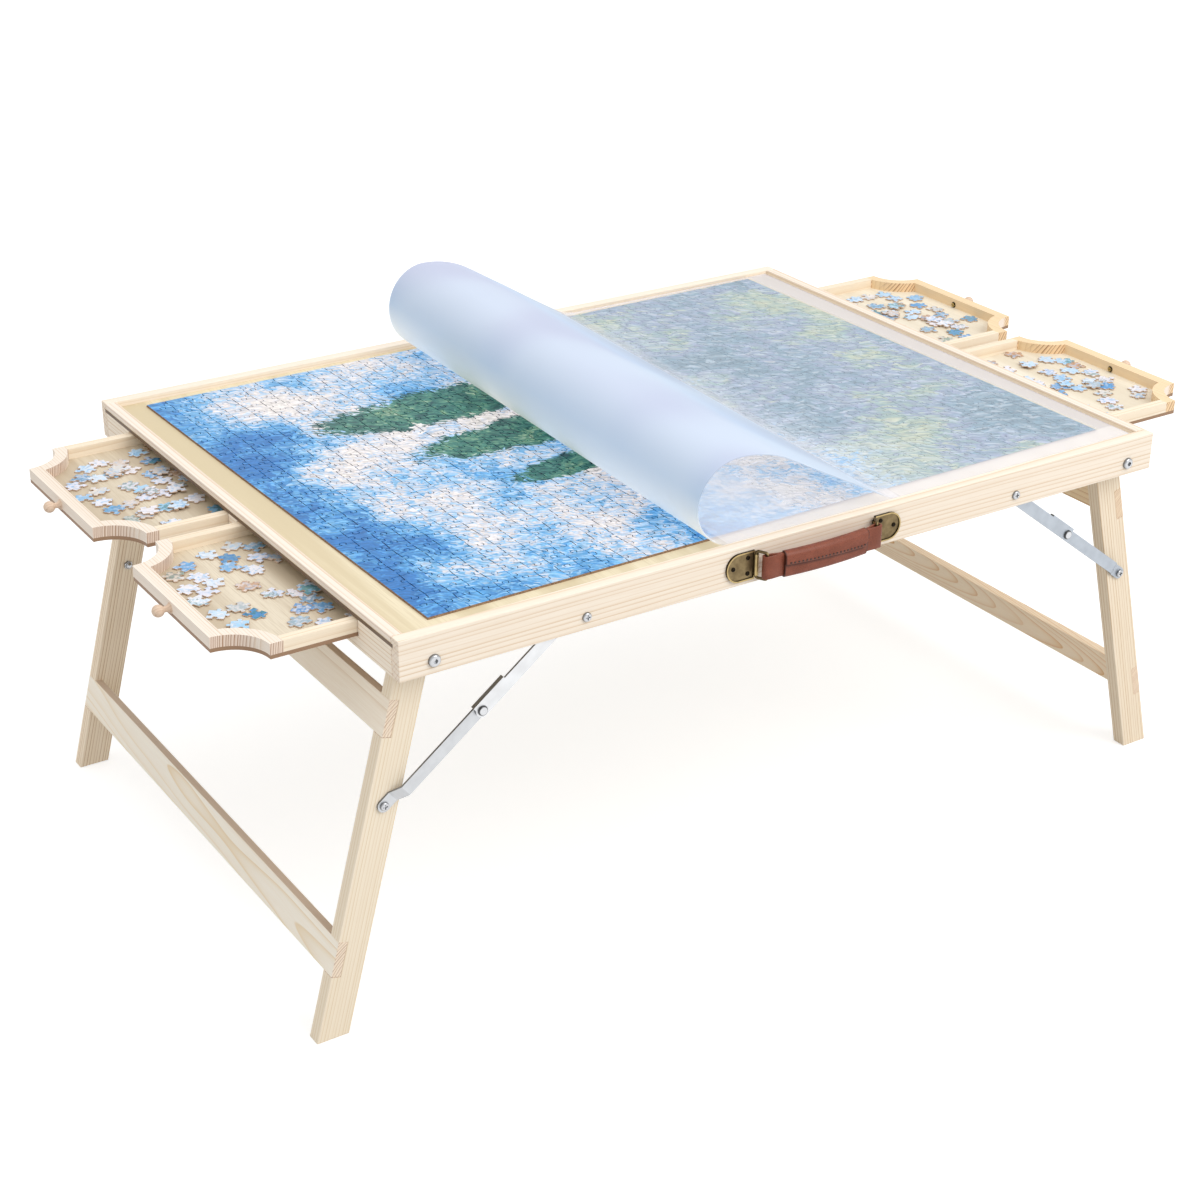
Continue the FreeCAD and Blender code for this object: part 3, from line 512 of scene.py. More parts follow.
# %% [markdown]
# ## Zinc and brass
# The braces are zinc-plated strip: bright, slightly blue, with streaks left by the rolling mill.
# The handle's plates and rings are antiqued brass: a dark stain that was rubbed off where a hand
# reaches, so the raised rim and the wire are golden and the hollow stays brown.

# %% Make the metals
along_strip = (90.0, 1400.0, 90.0)
bolt_specks = (500.0, 500.0, 500.0)
screw_specks = (600.0, 600.0, 600.0)


def plated(name, colour, roughness, streak, edge_shade=0.40, facing=1, turned=(0.10, 0.90)):
    """Plated steel; edge_shade darkens the faces that are turned away from an axis."""
    material, shader, place, normal = new_material(name, Metallic=1.0)
    streaks = noise(place * streak, 1.0)
    shade = noise(place, 60.0, 3.0) * 0.5 + streaks * 0.5
    face = mix(spread(shade, 0.3, 0.7), tuple(v * 0.9 for v in colour), colour)
    edge = spread(reckon("ABSOLUTE", parts(normal)[facing]), *turned, 1.0, 0.0, smooth=False)
    connect(shader, Base_Color=mix(edge, face, tuple(v * edge_shade for v in colour)),
            Roughness=spread(shade, 0.3, 0.7, roughness + 0.05, roughness - 0.04))
    add_bump(shader, streaks, 0.05, 0.0001)
    return material


def antique_brass(name, worn, wall_darkening):
    """Stained in its hollow, worn where raised; walls square to the rail are darkened towards near
    black.
    """
    material, shader, place, normal = new_material(name, Metallic=1.0)
    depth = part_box("front_rail")[0].y - parts(place)[1]
    blotch = noise(place, 130.0, 3.0, 0.6)
    rubbed = spread(depth, 0.0013, 0.0023) * spread(blotch, 0.25, 0.6, 0.7, 1.0)
    stain = mix(spread(blotch, 0.3, 0.7), (0.15, 0.108, 0.055), (0.25, 0.185, 0.095))
    hollow = spread(reckon("ABSOLUTE", parts(normal)[1]), 0.25, 0.80, wall_darkening, 0.0)
    connect(shader, Base_Color=mix(hollow, mix(rubbed, stain, worn), (0.022, 0.014, 0.008)),
            Roughness=spread(blotch, 0.3, 0.7, 0.42, 0.32))
    add_bump(shader, blotch, 0.05, 0.0003)
    return material


# Painted light and shade: one zinc strip in three copies, lightest on the left upper links and
# darkest on the right links, as light falls on them.
strips = {"lit_zinc_strip": ((0.74, 0.75, 0.765), ["left_upper_links"]),
          "dimmer_zinc_strip": ((0.605, 0.62, 0.64), ["left_lower_links"]),
          "shaded_zinc_strip": ((0.46, 0.50, 0.55), ["right_upper_links", "right_lower_links"])}
for name, (colour, links) in strips.items():
    paint(plated(name, colour, 0.42, along_strip), *links)
bolt_zinc = plated("zinc_bolts", (0.58, 0.59, 0.61), 0.22, bolt_specks, turned=(0.30, 0.985))
rivet_zinc = plated("zinc_rivets", (0.66, 0.67, 0.69), 0.25, bolt_specks, 0.12,
                    turned=(0.86, 0.985))
screw_brass = plated("brassed_screws", (0.50, 0.37, 0.15), 0.30, screw_specks, 0.08, facing=0,
                     turned=(0.86, 0.985))
paint(rivet_zinc, "left_knee_rivets", "right_knee_rivets")
paint(bolt_zinc, "left_leg_screws", "right_leg_screws", "leg_pivot_bolts", "leg_pivot_bushes",
      "leg_pivot_nuts", "brace_bolts", "brace_bushes", "brace_nuts")
paint(antique_brass("antique_brass", (0.50, 0.375, 0.175), 0.9), "handle_plates")
paint(antique_brass("antique_ring_brass", (0.24, 0.175, 0.085), 0.6), "left_handle_ring",
      "right_handle_ring")
paint(plated("stained_screws", (0.022, 0.016, 0.010), 0.30, screw_specks), "handle_screws")
for drawer in drawer_ends:
    paint(screw_brass, drawer + "_knob_screw")
    give_pine(drawer + "_knob", X_AXIS, (lengthwise(), 0.02, 0.006), ring_width=0.0022,
              contrast=0.9, ends=0.3, light=(0.78, 0.60, 0.46), dark=(0.48, 0.29, 0.18))
print("metals made")

# %% [markdown]
# ## Modelling helpers
# New pieces are shaped with the same operators that the mouse would use.  An operator acts on all
# that is selected, so each piece starts from an empty selection, and when it is finished its
# place is written into its mesh, as it is in the construction model.

# %% Modelling helpers
def select_only(*objects):
    bpy.ops.object.select_all(action="DESELECT")
    for item in objects:
        item.select_set(True)
    bpy.context.view_layer.objects.active = objects[0]


def outline_mesh(name, vertices, faces):
    """A flat piece from its outlines, selected and active."""
    mesh = bpy.data.meshes.new(name)
    mesh.from_pydata(vertices, [], faces)
    piece = bpy.data.objects.new(name, mesh)
    bpy.context.scene.collection.objects.link(piece)
    select_only(piece)
    return piece


def edit_all():
    bpy.ops.object.mode_set(mode="EDIT")
    bpy.ops.mesh.select_all(action="SELECT")


def close_borders():
    """In edit mode: fill every open border and turn all faces outwards."""
    bpy.ops.mesh.select_mode(type="EDGE")
    bpy.ops.mesh.select_all(action="DESELECT")
    bpy.ops.mesh.select_non_manifold(extend=False, use_wire=False, use_multi_face=False,
                                     use_non_contiguous=False, use_verts=False)
    bpy.ops.mesh.fill_holes(sides=0)
    bpy.ops.mesh.select_all(action="SELECT")
    bpy.ops.mesh.normals_make_consistent(inside=False)
    bpy.ops.mesh.select_mode(type="FACE")
    bpy.ops.object.mode_set(mode="OBJECT")


def write_place():
    """Write the selected piece's place into its mesh."""
    bpy.ops.object.transform_apply(location=True, rotation=True, scale=True)


def settle(piece, name, body, slot, *materials):
    """Name a finished piece, hang it on its body and give its finish."""
    select_only(piece)
    write_place()
    piece.name = name
    piece.data.name = name
    for material in materials:
        piece.data.materials.append(material)
    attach(piece, body)
    return piece


def apply_modifier(piece, kind, **settings):
    select_only(piece)
    modifier = piece.modifiers.new(kind.lower(), kind)
    for key, value in settings.items():
        setattr(modifier, key, value)
    bpy.ops.object.modifier_apply(modifier=modifier.name)


def own_copy(piece):
    """A copy that has a mesh of its own."""
    copy = piece.copy()
    copy.data = piece.data.copy()
    bpy.context.scene.collection.objects.link(copy)
    return copy


print("modelling helpers ready")

# %% [markdown]
# ## The print
# The jigsaw shows a painted landscape: a windy blue sky with white clouds, three slender trees and
# a bank of flowering shrubs.  It is laid down as a painter would, in short slanting dabs.  A
# Voronoi texture gives the dabs, and each dab asks a broad noise, at its own centre, what colour
# it is.  One group makes it, and both the assembled picture and the loose pieces use it.

# %% Build the painting group
dab_slant = 0.62
dab_size = (250.0, 520.0, 1.0)
dab_back = (1 / dab_size[0], 1 / dab_size[1], 0.0)
stroke_size = (95.0, 330.0, 1.0)
bristle_size = (85.0, 330.0, 1.0)
sky_colours = [(0.31, (0.03, 0.19, 0.52)), (0.40, (0.09, 0.36, 0.72)), (0.46, (0.22, 0.51, 0.82)),
               (0.51, (0.44, 0.63, 0.85)), (0.56, (0.67, 0.71, 0.81)), (0.61, (0.82, 0.77, 0.77)),
               (0.70, (0.88, 0.83, 0.80))]
bank_colours = [(0.34, (0.06, 0.17, 0.24)), (0.43, (0.12, 0.25, 0.34)), (0.49, (0.21, 0.26, 0.42)),
                (0.54, (0.17, 0.30, 0.31)), (0.60, (0.25, 0.36, 0.27)), (0.68, (0.42, 0.45, 0.29))]
warm_dab = (0.56, 0.55, 0.34)
pale_dab = (0.52, 0.59, 0.68)
tree_colours = [(0.30, (0.015, 0.075, 0.08)), (0.44, (0.03, 0.16, 0.14)), (0.56, (0.07, 0.25, 0.19)),
                (0.68, (0.20, 0.36, 0.22)), (0.78, (0.46, 0.56, 0.46))]
poplars = [((-0.115, 0.125), (0.155, 0.044)), ((-0.085, 0.020), (0.135, 0.036)),
           ((-0.075, -0.075), (0.095, 0.027))]       # middle, half length and half width


def dabs(vector):
    """Flat Voronoi cells: distance to the centre, the centre, and three random numbers."""
    made = put(vector.tree, "TexVoronoi", {"Vector": vector, "Scale": 1.0},
               voronoi_dimensions="2D").outputs
    luck = put(vector.tree, "SeparateColor", {0: made["Color"]}).outputs
    return Field(made["Distance"]), Field(made["Position"]), [Field(number) for number in luck]


def painting_group():
    tree, (vector,), result = new_group("painted_landscape", [("Vector", "Vector")],
                                        [("Color", "Color"), ("Height", "Float")])
    place = vector * (1.0, 1.0, 0.0)
    drift = noise(place, 26.0, output="Color") - (0.5, 0.5, 0.5)
    turned = rotate_z(place + drift * (0.032, 0.032, 0.0), dab_slant)
    distance, centre, luck = dabs(turned * dab_size)
    stroke_luck = dabs(turned * stroke_size)[2]
    bristles = noise(turned * bristle_size, 1.0, 3.0, 0.62)
    seat = rotate_z(centre * dab_back, -dab_slant)
    x, y, flat_z = parts(seat)

    broad = (luck[0] - 0.5) * 0.15 + noise(seat, 8.0, 5.0, 0.62)
    from_left = spread(x, -0.376, -0.24, -0.16, 0.05)
    from_front = spread(y, -0.282, -0.18, -0.07, 0.0)
    clearing = spread(x, -0.10, 0.0, 0.0, 0.05)
    sky = ramp(broad + (from_left + from_front + clearing), sky_colours)

    growth = noise(place + (3.1, 1.7, 0.0), 6.5, 3.0, 0.55)
    growth = growth + (stroke_luck[0] - 0.5) * 0.10 + (bristles - 0.5) * 0.20
    bank = ramp(growth, bank_colours)
    bank = mix(spread(stroke_luck[1], 0.65, 1.0, 0.0, 0.50), bank, pale_dab)
    warm = reckon("GREATER_THAN", stroke_luck[2], spread(growth, 0.47, 0.64, 1.0, 0.62))
    bank = mix(warm * 0.42, bank, warm_dab)
    shore = (broad - 0.5) * 0.35 + x + y * 0.16
    bank = mix(spread(shore, 0.07, 0.20, 0.42, 0.0), bank, pale_dab)
    inland = spread(shore, 0.040, 0.110)
    picture = mix(inland, sky, bank)

    fine = (luck[1] - 0.5) * 0.22 + noise(seat, 24.0, 4.0, 0.62) + (bristles - 0.5) * 0.7
    leaves = ramp(fine, tree_colours)
    for (middle_x, middle_y), (long, short) in poplars:
        offset = (seat - (middle_x, middle_y, 0.0)) * (1 / long, 1 / short, 0.0)
        reach = reckon("LENGTH", offset) + (fine - 0.5) * 0.9
        picture = mix(spread(reach, 0.90, 1.0, 1.0, 0.0), picture, leaves)

    dull = spread(inland, 0.0, 1.0, 0.89, 0.98, smooth=False)
    deep = spread(inland, 0.0, 1.0, 0.81, 0.74, smooth=False)
    speck = noise(place, 420.0, 2.0, 0.6)
    lighter = (spread(luck[2], 0.0, 1.0, dull, 1.07, smooth=False)
               * spread(speck, 0.3, 0.7, dull, 1.06, smooth=False))
    lighter = lighter * (deep + spread(bristles, 0.32, 0.68) * (2.0 - deep - deep))
    connect(result, Color=mix(1.0, picture, lighter, "MULTIPLY"), Height=distance)
    return tree


painted_landscape = painting_group()
picture_low, picture_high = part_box("jigsaw_picture")
picture_centre = (picture_low + picture_high) / 2
picture_turn = math.radians(0.77)           # the picture lies a little askew on the board
box_size = picture_high - picture_low
picture_length, picture_width = [
    (this * math.cos(picture_turn) - other * math.sin(picture_turn)) / math.cos(2 * picture_turn)
    for this, other in ((box_size.x, box_size.y), (box_size.y, box_size.x))]
rim_width = 0.0008


def place_in_picture(place):
    """The place on the table, seen from the picture's own middle and along its own sides."""
    return rotate_z(place, -picture_turn, tuple(picture_centre)) - tuple(picture_centre)


def card_colour(place, dark, light):
    return mix(spread(noise(place, 900.0), 0.3, 0.7), dark, light)


def print_material(name, where, tint=None):
    """Glossy print, its paint taken from a place in the landscape, with an overlay if given."""
    material, shader, place, normal = new_material(name, Roughness=0.42, Specular_IOR_Level=0.35)
    spot = where(place)
    print_out = use_group(painted_landscape, Vector=spot)
    colour = tint(spot, print_out["Color"]) if tint else print_out["Color"]
    connect(shader, Base_Color=colour)
    add_bump(shader, print_out["Height"], 0.10, 0.0003)
    return material


def cut_card_material():
    """The brown card that shows at the sides of a piece."""
    material, shader, place, normal = new_material("cut_card", Roughness=0.85,
                                                   Specular_IOR_Level=0.2)
    connect(shader, Base_Color=card_colour(place, (0.52, 0.36, 0.25), (0.70, 0.54, 0.41)))
    return material


def seam_material():
    """The cuts between joined pieces: painted shade darkens them where they gape, most in those that
    run to the rear.
    """
    material, shader, place, normal = new_material("seam_card", Roughness=0.85,
                                                   Specular_IOR_Level=0.2)
    spot = place_in_picture(place)
    print_out = use_group(painted_landscape, Vector=spot)
    sideways, rearways, upward = parts(reckon("ABSOLUTE", normal))
    # Painted shade in the cuts: dark on random stretches, darker on cuts that run to the rear, and
    # faint towards the right, under the sheet.
    seam_shade = spread(noise(spot, 150.0, 1.0), 0.43, 0.50)
    seam_shade = seam_shade * spread(sideways / (sideways + rearways), 0.45, 0.72, 0.22, 1.0)
    uncovered = spread(parts(spot)[0], -0.07, -0.04, 1.0, 0.12)
    seam = mix(seam_shade * uncovered, print_out["Color"], (0.012, 0.02, 0.045))
    from_x, from_y, height = parts(reckon("ABSOLUTE", spot))
    border = reckon("MAXIMUM", reckon("GREATER_THAN", from_x, picture_length / 2 - rim_width),
                    reckon("GREATER_THAN", from_y, picture_width / 2 - rim_width))
    rim = card_colour(place, (0.20, 0.115, 0.065), (0.36, 0.24, 0.15))
    connect(shader, Base_Color=mix(border, seam, rim))
    return material


picture_print = print_material("picture_print", place_in_picture)
cut_card = cut_card_material()
seam_card = seam_material()
print("painting ready with", len(poplars), "trees, picture", round(picture_length, 4),
      round(picture_width, 4))

# %% [markdown]
# ## The assembled jigsaw
# Every cut between two pieces is one line that both of them share: straight to a neck, round a
# knob and straight on.  So the cuts are drawn first, and each piece then walks round its four
# sides.  All outlines lie flat; one inset with a depth lifts each piece to its thickness and
# slopes its wall, which leaves the fine dark seams of a pressed jigsaw.

# %% Cut the jigsaw
columns = 38
rows = 28
knob_shape = [(0.405, 0.02), (0.345, 0.14), (0.42, 0.245), (0.58, 0.245), (0.655, 0.14),
              (0.595, 0.02)]                # along the cut and out of it, as shares of its length
knob_slip = 0.06
knob_growth = 0.08
corner_slip = 0.0006
seam_slope = 0.00040
card_thickness = picture_high.z - picture_low.z
pitch_x = picture_length / columns
pitch_y = picture_width / rows


def cut_line(start, end, side, chance):
    """The points of one cut after its start: a knob towards one side, and the end."""
    run = end - start
    out = Vector((-run.y, run.x)) * side
    slip = chance.uniform(-knob_slip, knob_slip)
    size = chance.uniform(1 - knob_growth, 1 + knob_growth)
    points = [start + run * (0.5 + (t - 0.5) * size + slip) + out * (h * size)
              for t, h in knob_shape]
    return points + [end]


def jigsaw_outlines(chance):
    """The outline of every piece, as lists of points round it, counter-clockwise."""
    def corner(column, row):
        x = (column - columns / 2) * pitch_x
        y = (row - rows / 2) * pitch_y
        if 0 < column < columns:
            x += chance.uniform(-corner_slip, corner_slip)
        if 0 < row < rows:
            y += chance.uniform(-corner_slip, corner_slip)
        return Vector((x, y))

    corners = [[corner(c, r) for r in range(rows + 1)] for c in range(columns + 1)]

    def cut(start, end, border):
        return [end] if border else cut_line(start, end, chance.choice((-1, 1)), chance)

    level = [[cut(corners[c][r], corners[c + 1][r], r in (0, rows)) for r in range(rows + 1)]
             for c in range(columns)]
    upright = [[cut(corners[c][r], corners[c][r + 1], c in (0, columns)) for r in range(rows)]
               for c in range(columns + 1)]
    outlines = []
    for c in range(columns):
        for r in range(rows):
            back_top = [corners[c][r + 1]] + level[c][r + 1][:-1]
            back_left = [corners[c][r]] + upright[c][r][:-1]
            outlines.append(level[c][r] + upright[c + 1][r] + back_top[::-1] + back_left[::-1])
    return outlines


def raise_outlines(name, outlines, slope, height, walls, face):
    """Flat outlines become solid pieces with sloping walls; slot 0 is the walls, slot 1 the face."""
    vertices, faces = [], []
    for outline in outlines:
        faces.append(list(range(len(vertices), len(vertices) + len(outline))))
        vertices += [(p.x, p.y, 0.0) for p in outline]
    piece = outline_mesh(name, vertices, faces)
    piece.data.materials.append(walls)
    piece.data.materials.append(face)
    edit_all()
    bpy.ops.mesh.inset(thickness=slope, depth=height, use_individual=True)
    piece.active_material_index = 1
    bpy.ops.object.material_slot_assign()
    close_borders()
    return piece


jigsaw = raise_outlines("assembled_jigsaw", jigsaw_outlines(random.Random(5)), seam_slope,
                        card_thickness, seam_card, picture_print)
jigsaw.location = (picture_centre.x, picture_centre.y, picture_low.z)
jigsaw.rotation_euler = (0, 0, picture_turn)
settle(jigsaw, "assembled_jigsaw", "table", "printed_card")
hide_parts("jigsaw_picture")
print("jigsaw of", columns * rows, "pieces,", len(jigsaw.data.polygons), "faces")

# %% [markdown]
# ## Loose pieces in the drawers
# A few piece shapes are cut the same way, and the rest are copies: each copy gets its own mesh, is
# turned and laid on the drawer's floor, and remembers from which part of the picture it was cut
# and which paint it holds: cloud, sky, leaves or, now and then, warm ground.  A few lie on their
# neighbours, a card's thickness higher.

# %% Scatter the loose pieces
loose_pitch = 0.0152
loose_gap = 0.0158              # between the centres of neighbours
loose_height = 0.0010
loose_slope = 0.0001
loose_lift = (0.0003, 0.0006)
loose_tilt = 0.02
stack_every = 4
stack_nudge = 0.012
pieces_per_drawer = 64
place_tries = 6000
scatter_depth = 0.23            # from the drawer's front inwards
shape_count = 7
wall_margin = 0.0128            # from a wall to the nearest piece's centre
front_wall = 0.012
side_wall = 0.010
scallop_reach = 0.048           # from a front corner to the inside of its hollow wall
loose_paints = [(0.00, (0.88, 0.85, 0.88)), (0.32, (0.78, 0.76, 0.86)), (0.46, (0.68, 0.80, 0.92)),
                (0.58, (0.38, 0.66, 0.90)), (0.68, (0.07, 0.27, 0.58)), (0.77, (0.18, 0.33, 0.42)),
                (0.86, (0.74, 0.69, 0.63)), (0.94, (0.52, 0.26, 0.10))]


def own_paint(spot, colour):
    """Each piece's own paint, with the picture's dabs showing through it."""
    speck = spread(noise(spot, 240.0), 0.42, 0.58, 0.9, 0.35)
    return mix(speck, colour, ramp(parts(spot)[2], loose_paints))


loose_print = print_material("loose_print",
                             lambda place: stored(place.tree, "print_place", "Vector"), own_paint)


def loose_shape(number, chance):
    """One free-standing piece about the origin, with a knob or a hole on each side."""
    half = loose_pitch / 2
    corners = [Vector(p) for p in ((-half, -half), (half, -half), (half, half), (-half, half))]
    outline = []
    for k in range(4):
        outline += cut_line(corners[k], corners[(k + 1) % 4], chance.choice((-1, 1)), chance)
    return raise_outlines("loose_shape_%d" % number, [outline], loose_slope, loose_height,
                          cut_card, loose_print)


def free_places(chance, half_width, count):
    """Places as (inwards, across) from the middle of a drawer's front, none too close."""
    found = []
    for attempt in range(place_tries):
        inwards = front_wall + wall_margin + scatter_depth * chance.random() ** 1.15
        limit = half_width - side_wall - wall_margin
        across = chance.uniform(-limit, limit)
        to_corner = math.hypot(inwards, half_width - abs(across))
        apart = all(math.hypot(inwards - i, across - a) > loose_gap for i, a in found)
        if to_corner > scallop_reach + wall_margin and apart:
            found.append((inwards, across))
        if len(found) == count:
            break
    return found


def lay_copy(shape, place, turn, chance):
    """A turned copy that stores where it was cut, with the number of its paint as the height."""
    copy = own_copy(shape)
    origin = Vector((chance.uniform(-0.33, 0.0), chance.uniform(-0.25, 0.06), chance.random()))
    print_place = copy.data.attributes.new("print_place", "FLOAT_VECTOR", "POINT")
    for vertex in copy.data.vertices:
        print_place.data[vertex.index].vector = origin + Vector((vertex.co.x, vertex.co.y, 0))
    tilt = Euler((chance.uniform(-loose_tilt, loose_tilt),
                  chance.uniform(-loose_tilt, loose_tilt), turn)).to_matrix()
    copy.data.transform(Matrix.Translation(place) @ tilt.to_4x4())
    return copy


def fill_drawer(drawer, end, shapes, chance):
    low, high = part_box(drawer + "_bottom")
    front, inward = (low.x, 1) if end == "left" else (high.x, -1)
    middle = (low.y + high.y) / 2
    half_width = (high.y - low.y) / 2
    copies = []
    places = free_places(chance, half_width, pieces_per_drawer)
    for number, (inwards, across) in enumerate(places):
        lift = chance.uniform(*loose_lift)
        place = Vector((front + inward * inwards, middle + across, high.z + lift))
        copies.append(lay_copy(chance.choice(shapes), place, chance.uniform(0, 6.28), chance))
        if number % stack_every == stack_every - 1:
            nudge = Vector((chance.uniform(-stack_nudge, stack_nudge),
                            chance.uniform(-stack_nudge, stack_nudge),
                            loose_height + loose_lift[1]))
            if min(inwards - front_wall, half_width - abs(across) - side_wall) > 2 * wall_margin:
                copies.append(lay_copy(chance.choice(shapes), place + nudge,
                                       chance.uniform(0, 6.28), chance))
    select_only(*copies)
    bpy.ops.object.join()
    settle(bpy.context.object, drawer + "_loose_pieces", drawer, "printed_card")
    return len(copies)


scatter = random.Random(23)
shapes = [loose_shape(number, scatter) for number in range(shape_count)]
for drawer, end in drawer_ends.items():
    print(drawer, "holds", fill_drawer(drawer, end, shapes, scatter), "pieces")
for shape in shapes:
    bpy.data.objects.remove(shape)

# %% [markdown]
# ## The cover sheet
# A frosted sheet lies flat over the right half of the picture, curls up and back over itself and
# comes down again.  It starts as a plane; its left edge is spun about the roll's axis, pulled down
# the slope and spun the other way to land.  The roll is a little tighter at the front and its
# axis is slightly askew, as a sheet turned back by hand is.

# %% Roll the cover sheet
sheet_low, sheet_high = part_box("cover_sheet")
sheet_depth = sheet_high.y - sheet_low.y
sheet_thickness = 0.0008
roll_radius = (sheet_high.z - sheet_low.z - sheet_thickness) / 2
sheet_level = sheet_low.z + sheet_thickness / 2
roll_x = sheet_low.x + roll_radius + sheet_thickness / 2
crest_radius = 0.110            # the easier bend over the top
fall_slope = math.radians(30)
landing_radius = 0.040
touch_gap = 0.0002
roll_steps = 48
crest_steps = 16
fall_steps = 8
landing_steps = 10
cross_cuts = 26
skew_ends = (-0.011, 0.011)     # how far the roll stands off its mean place, front and rear
height_ends = (0.950, 1.045)    # the roll's height, as a share of its mean, front and rear


def pick_edge(piece, axis, value, tolerance=1e-5):
    """Select the edges whose ends both lie at a value on an axis."""
    mesh = piece.data
    for part in (mesh.polygons, mesh.edges, mesh.vertices):
        for item in part:
            item.select = False
    for vertex in mesh.vertices:
        vertex.select = abs(vertex.co[axis] - value) < tolerance
    for edge in mesh.edges:
        edge.select = all(mesh.vertices[v].select for v in edge.vertices)
    bpy.ops.object.mode_set(mode="EDIT")
    bpy.ops.mesh.select_mode(type="EDGE")


def sheet_profile():
    """The middle of the bend over the top, the straight fall, and the middle of the landing."""
    out = Vector((math.sin(fall_slope), 0, math.cos(fall_slope)))
    fall = Vector((math.cos(fall_slope), 0, -math.sin(fall_slope)))
    crest_centre = Vector((roll_x, 0, sheet_level + 2 * roll_radius - crest_radius))
    brow = crest_centre + out * crest_radius
    land_level = sheet_level + sheet_thickness + touch_gap
    drop = landing_radius * (1 - math.cos(fall_slope))
    length = (brow.z - land_level - drop) / math.sin(fall_slope)
    return crest_centre, fall * length, brow + fall * length + out * landing_radius


def roll_sheet():
    """The sheet's middle surface, and its length when it is laid flat."""
    flat_length = sheet_high.x - roll_x
    crest_centre, fall, land_centre = sheet_profile()
    bpy.ops.object.select_all(action="DESELECT")
    bpy.ops.mesh.primitive_plane_add(size=1)
    piece = bpy.context.object
    piece.scale = (flat_length, sheet_depth, 1)
    piece.location = (roll_x + flat_length / 2, (sheet_high.y + sheet_low.y) / 2, sheet_level)
    write_place()
    pick_edge(piece, 0, roll_x)

    def bend(steps, angle, centre):
        bpy.ops.mesh.spin(steps=steps, angle=angle, center=tuple(centre), axis=(0, 1, 0))

    bend(roll_steps, -math.pi, (roll_x, 0, sheet_level + roll_radius))
    bend(crest_steps, -fall_slope, crest_centre)
    for step in range(fall_steps):
        bpy.ops.mesh.extrude_region_move(TRANSFORM_OT_translate={"value": fall / fall_steps})
    bend(landing_steps, fall_slope, land_centre)
    bpy.ops.mesh.select_all(action="SELECT")
    bpy.ops.mesh.remove_doubles(threshold=1e-6)
    for cut in range(1, cross_cuts):
        bpy.ops.mesh.select_all(action="SELECT")
        bpy.ops.mesh.bisect(plane_co=(0, sheet_low.y + sheet_depth * cut / cross_cuts, 0),
                            plane_no=(0, 1, 0))
    bpy.ops.object.mode_set(mode="OBJECT")
    bends = roll_radius * math.pi + (crest_radius + landing_radius) * fall_slope
    return piece, flat_length + bends + fall.length


def skew_roll(piece):
    """Slide and resize the roll from front to rear, and store each place's height."""
    def between(ends, share):
        return ends[0] + (ends[1] - ends[0]) * share

    lift = piece.data.attributes.new("lift", "FLOAT", "POINT")
    for vertex in piece.data.vertices:
        share = (vertex.co.y - sheet_low.y) / sheet_depth
        height = vertex.co.z - sheet_level
        if height > sheet_thickness or vertex.co.x < roll_x + 1e-6:
            eased = 1 + (between(height_ends, share) - 1) * min(1.0, height / roll_radius)
            vertex.co.x += between(skew_ends, share)
            vertex.co.z = sheet_level + height * eased
        lift.data[vertex.index].value = vertex.co.z - sheet_level


cover, cover_length = roll_sheet()
skew_roll(cover)
print("sheet length", round(cover_length, 4), "vertices", len(cover.data.vertices))

# %% [markdown]
# Frosted plastic shows what it touches and hides what it doesn't, because its rough faces blur
# everything farther than a few millimetres.  The sheet's height over the picture is stored on its
# vertices, and the material turns it into clearness: hazy but readable where it lies on the
# picture, whiter over the bare board round it, and milky where it stands clear.

# %% Frost the cover sheet
flat_haze = 0.14                # of one face of the sheet, where it lies on the picture
light_let_through = 0.88
arch_haze = 0.38                # of one face in the mouth of the roll, where it is held off a little
landed_share = 0.70             # of that haze, where the sheet has landed on itself
margin_haze = 0.50              # of one face over the bare board, which it doesn't touch
milk_haze = 0.90                # of one face where it stands clear
# Partly painted light: the near-white low end of the left ramp lifts the roll's shaded left
# underside; the right ramp keeps the side where the sheet comes down greyer.
near_side_lit = [(0.0, (0.97, 0.98, 1.0)), (0.30, (0.80, 0.88, 0.97)), (0.62, (0.48, 0.63, 0.83)),
             (1.0, (0.54, 0.58, 0.74))]
far_side = [(0.0, (0.47, 0.47, 0.55)), (0.16, (0.48, 0.56, 0.69)), (0.62, (0.52, 0.63, 0.81)),
            (1.0, (0.54, 0.58, 0.74))]
# A painted glow, given as emission, on the roll's shaded underside.
underside_glow = (0.25, 0.235, 0.18)       # what the roll's shaded underside passes on from inside


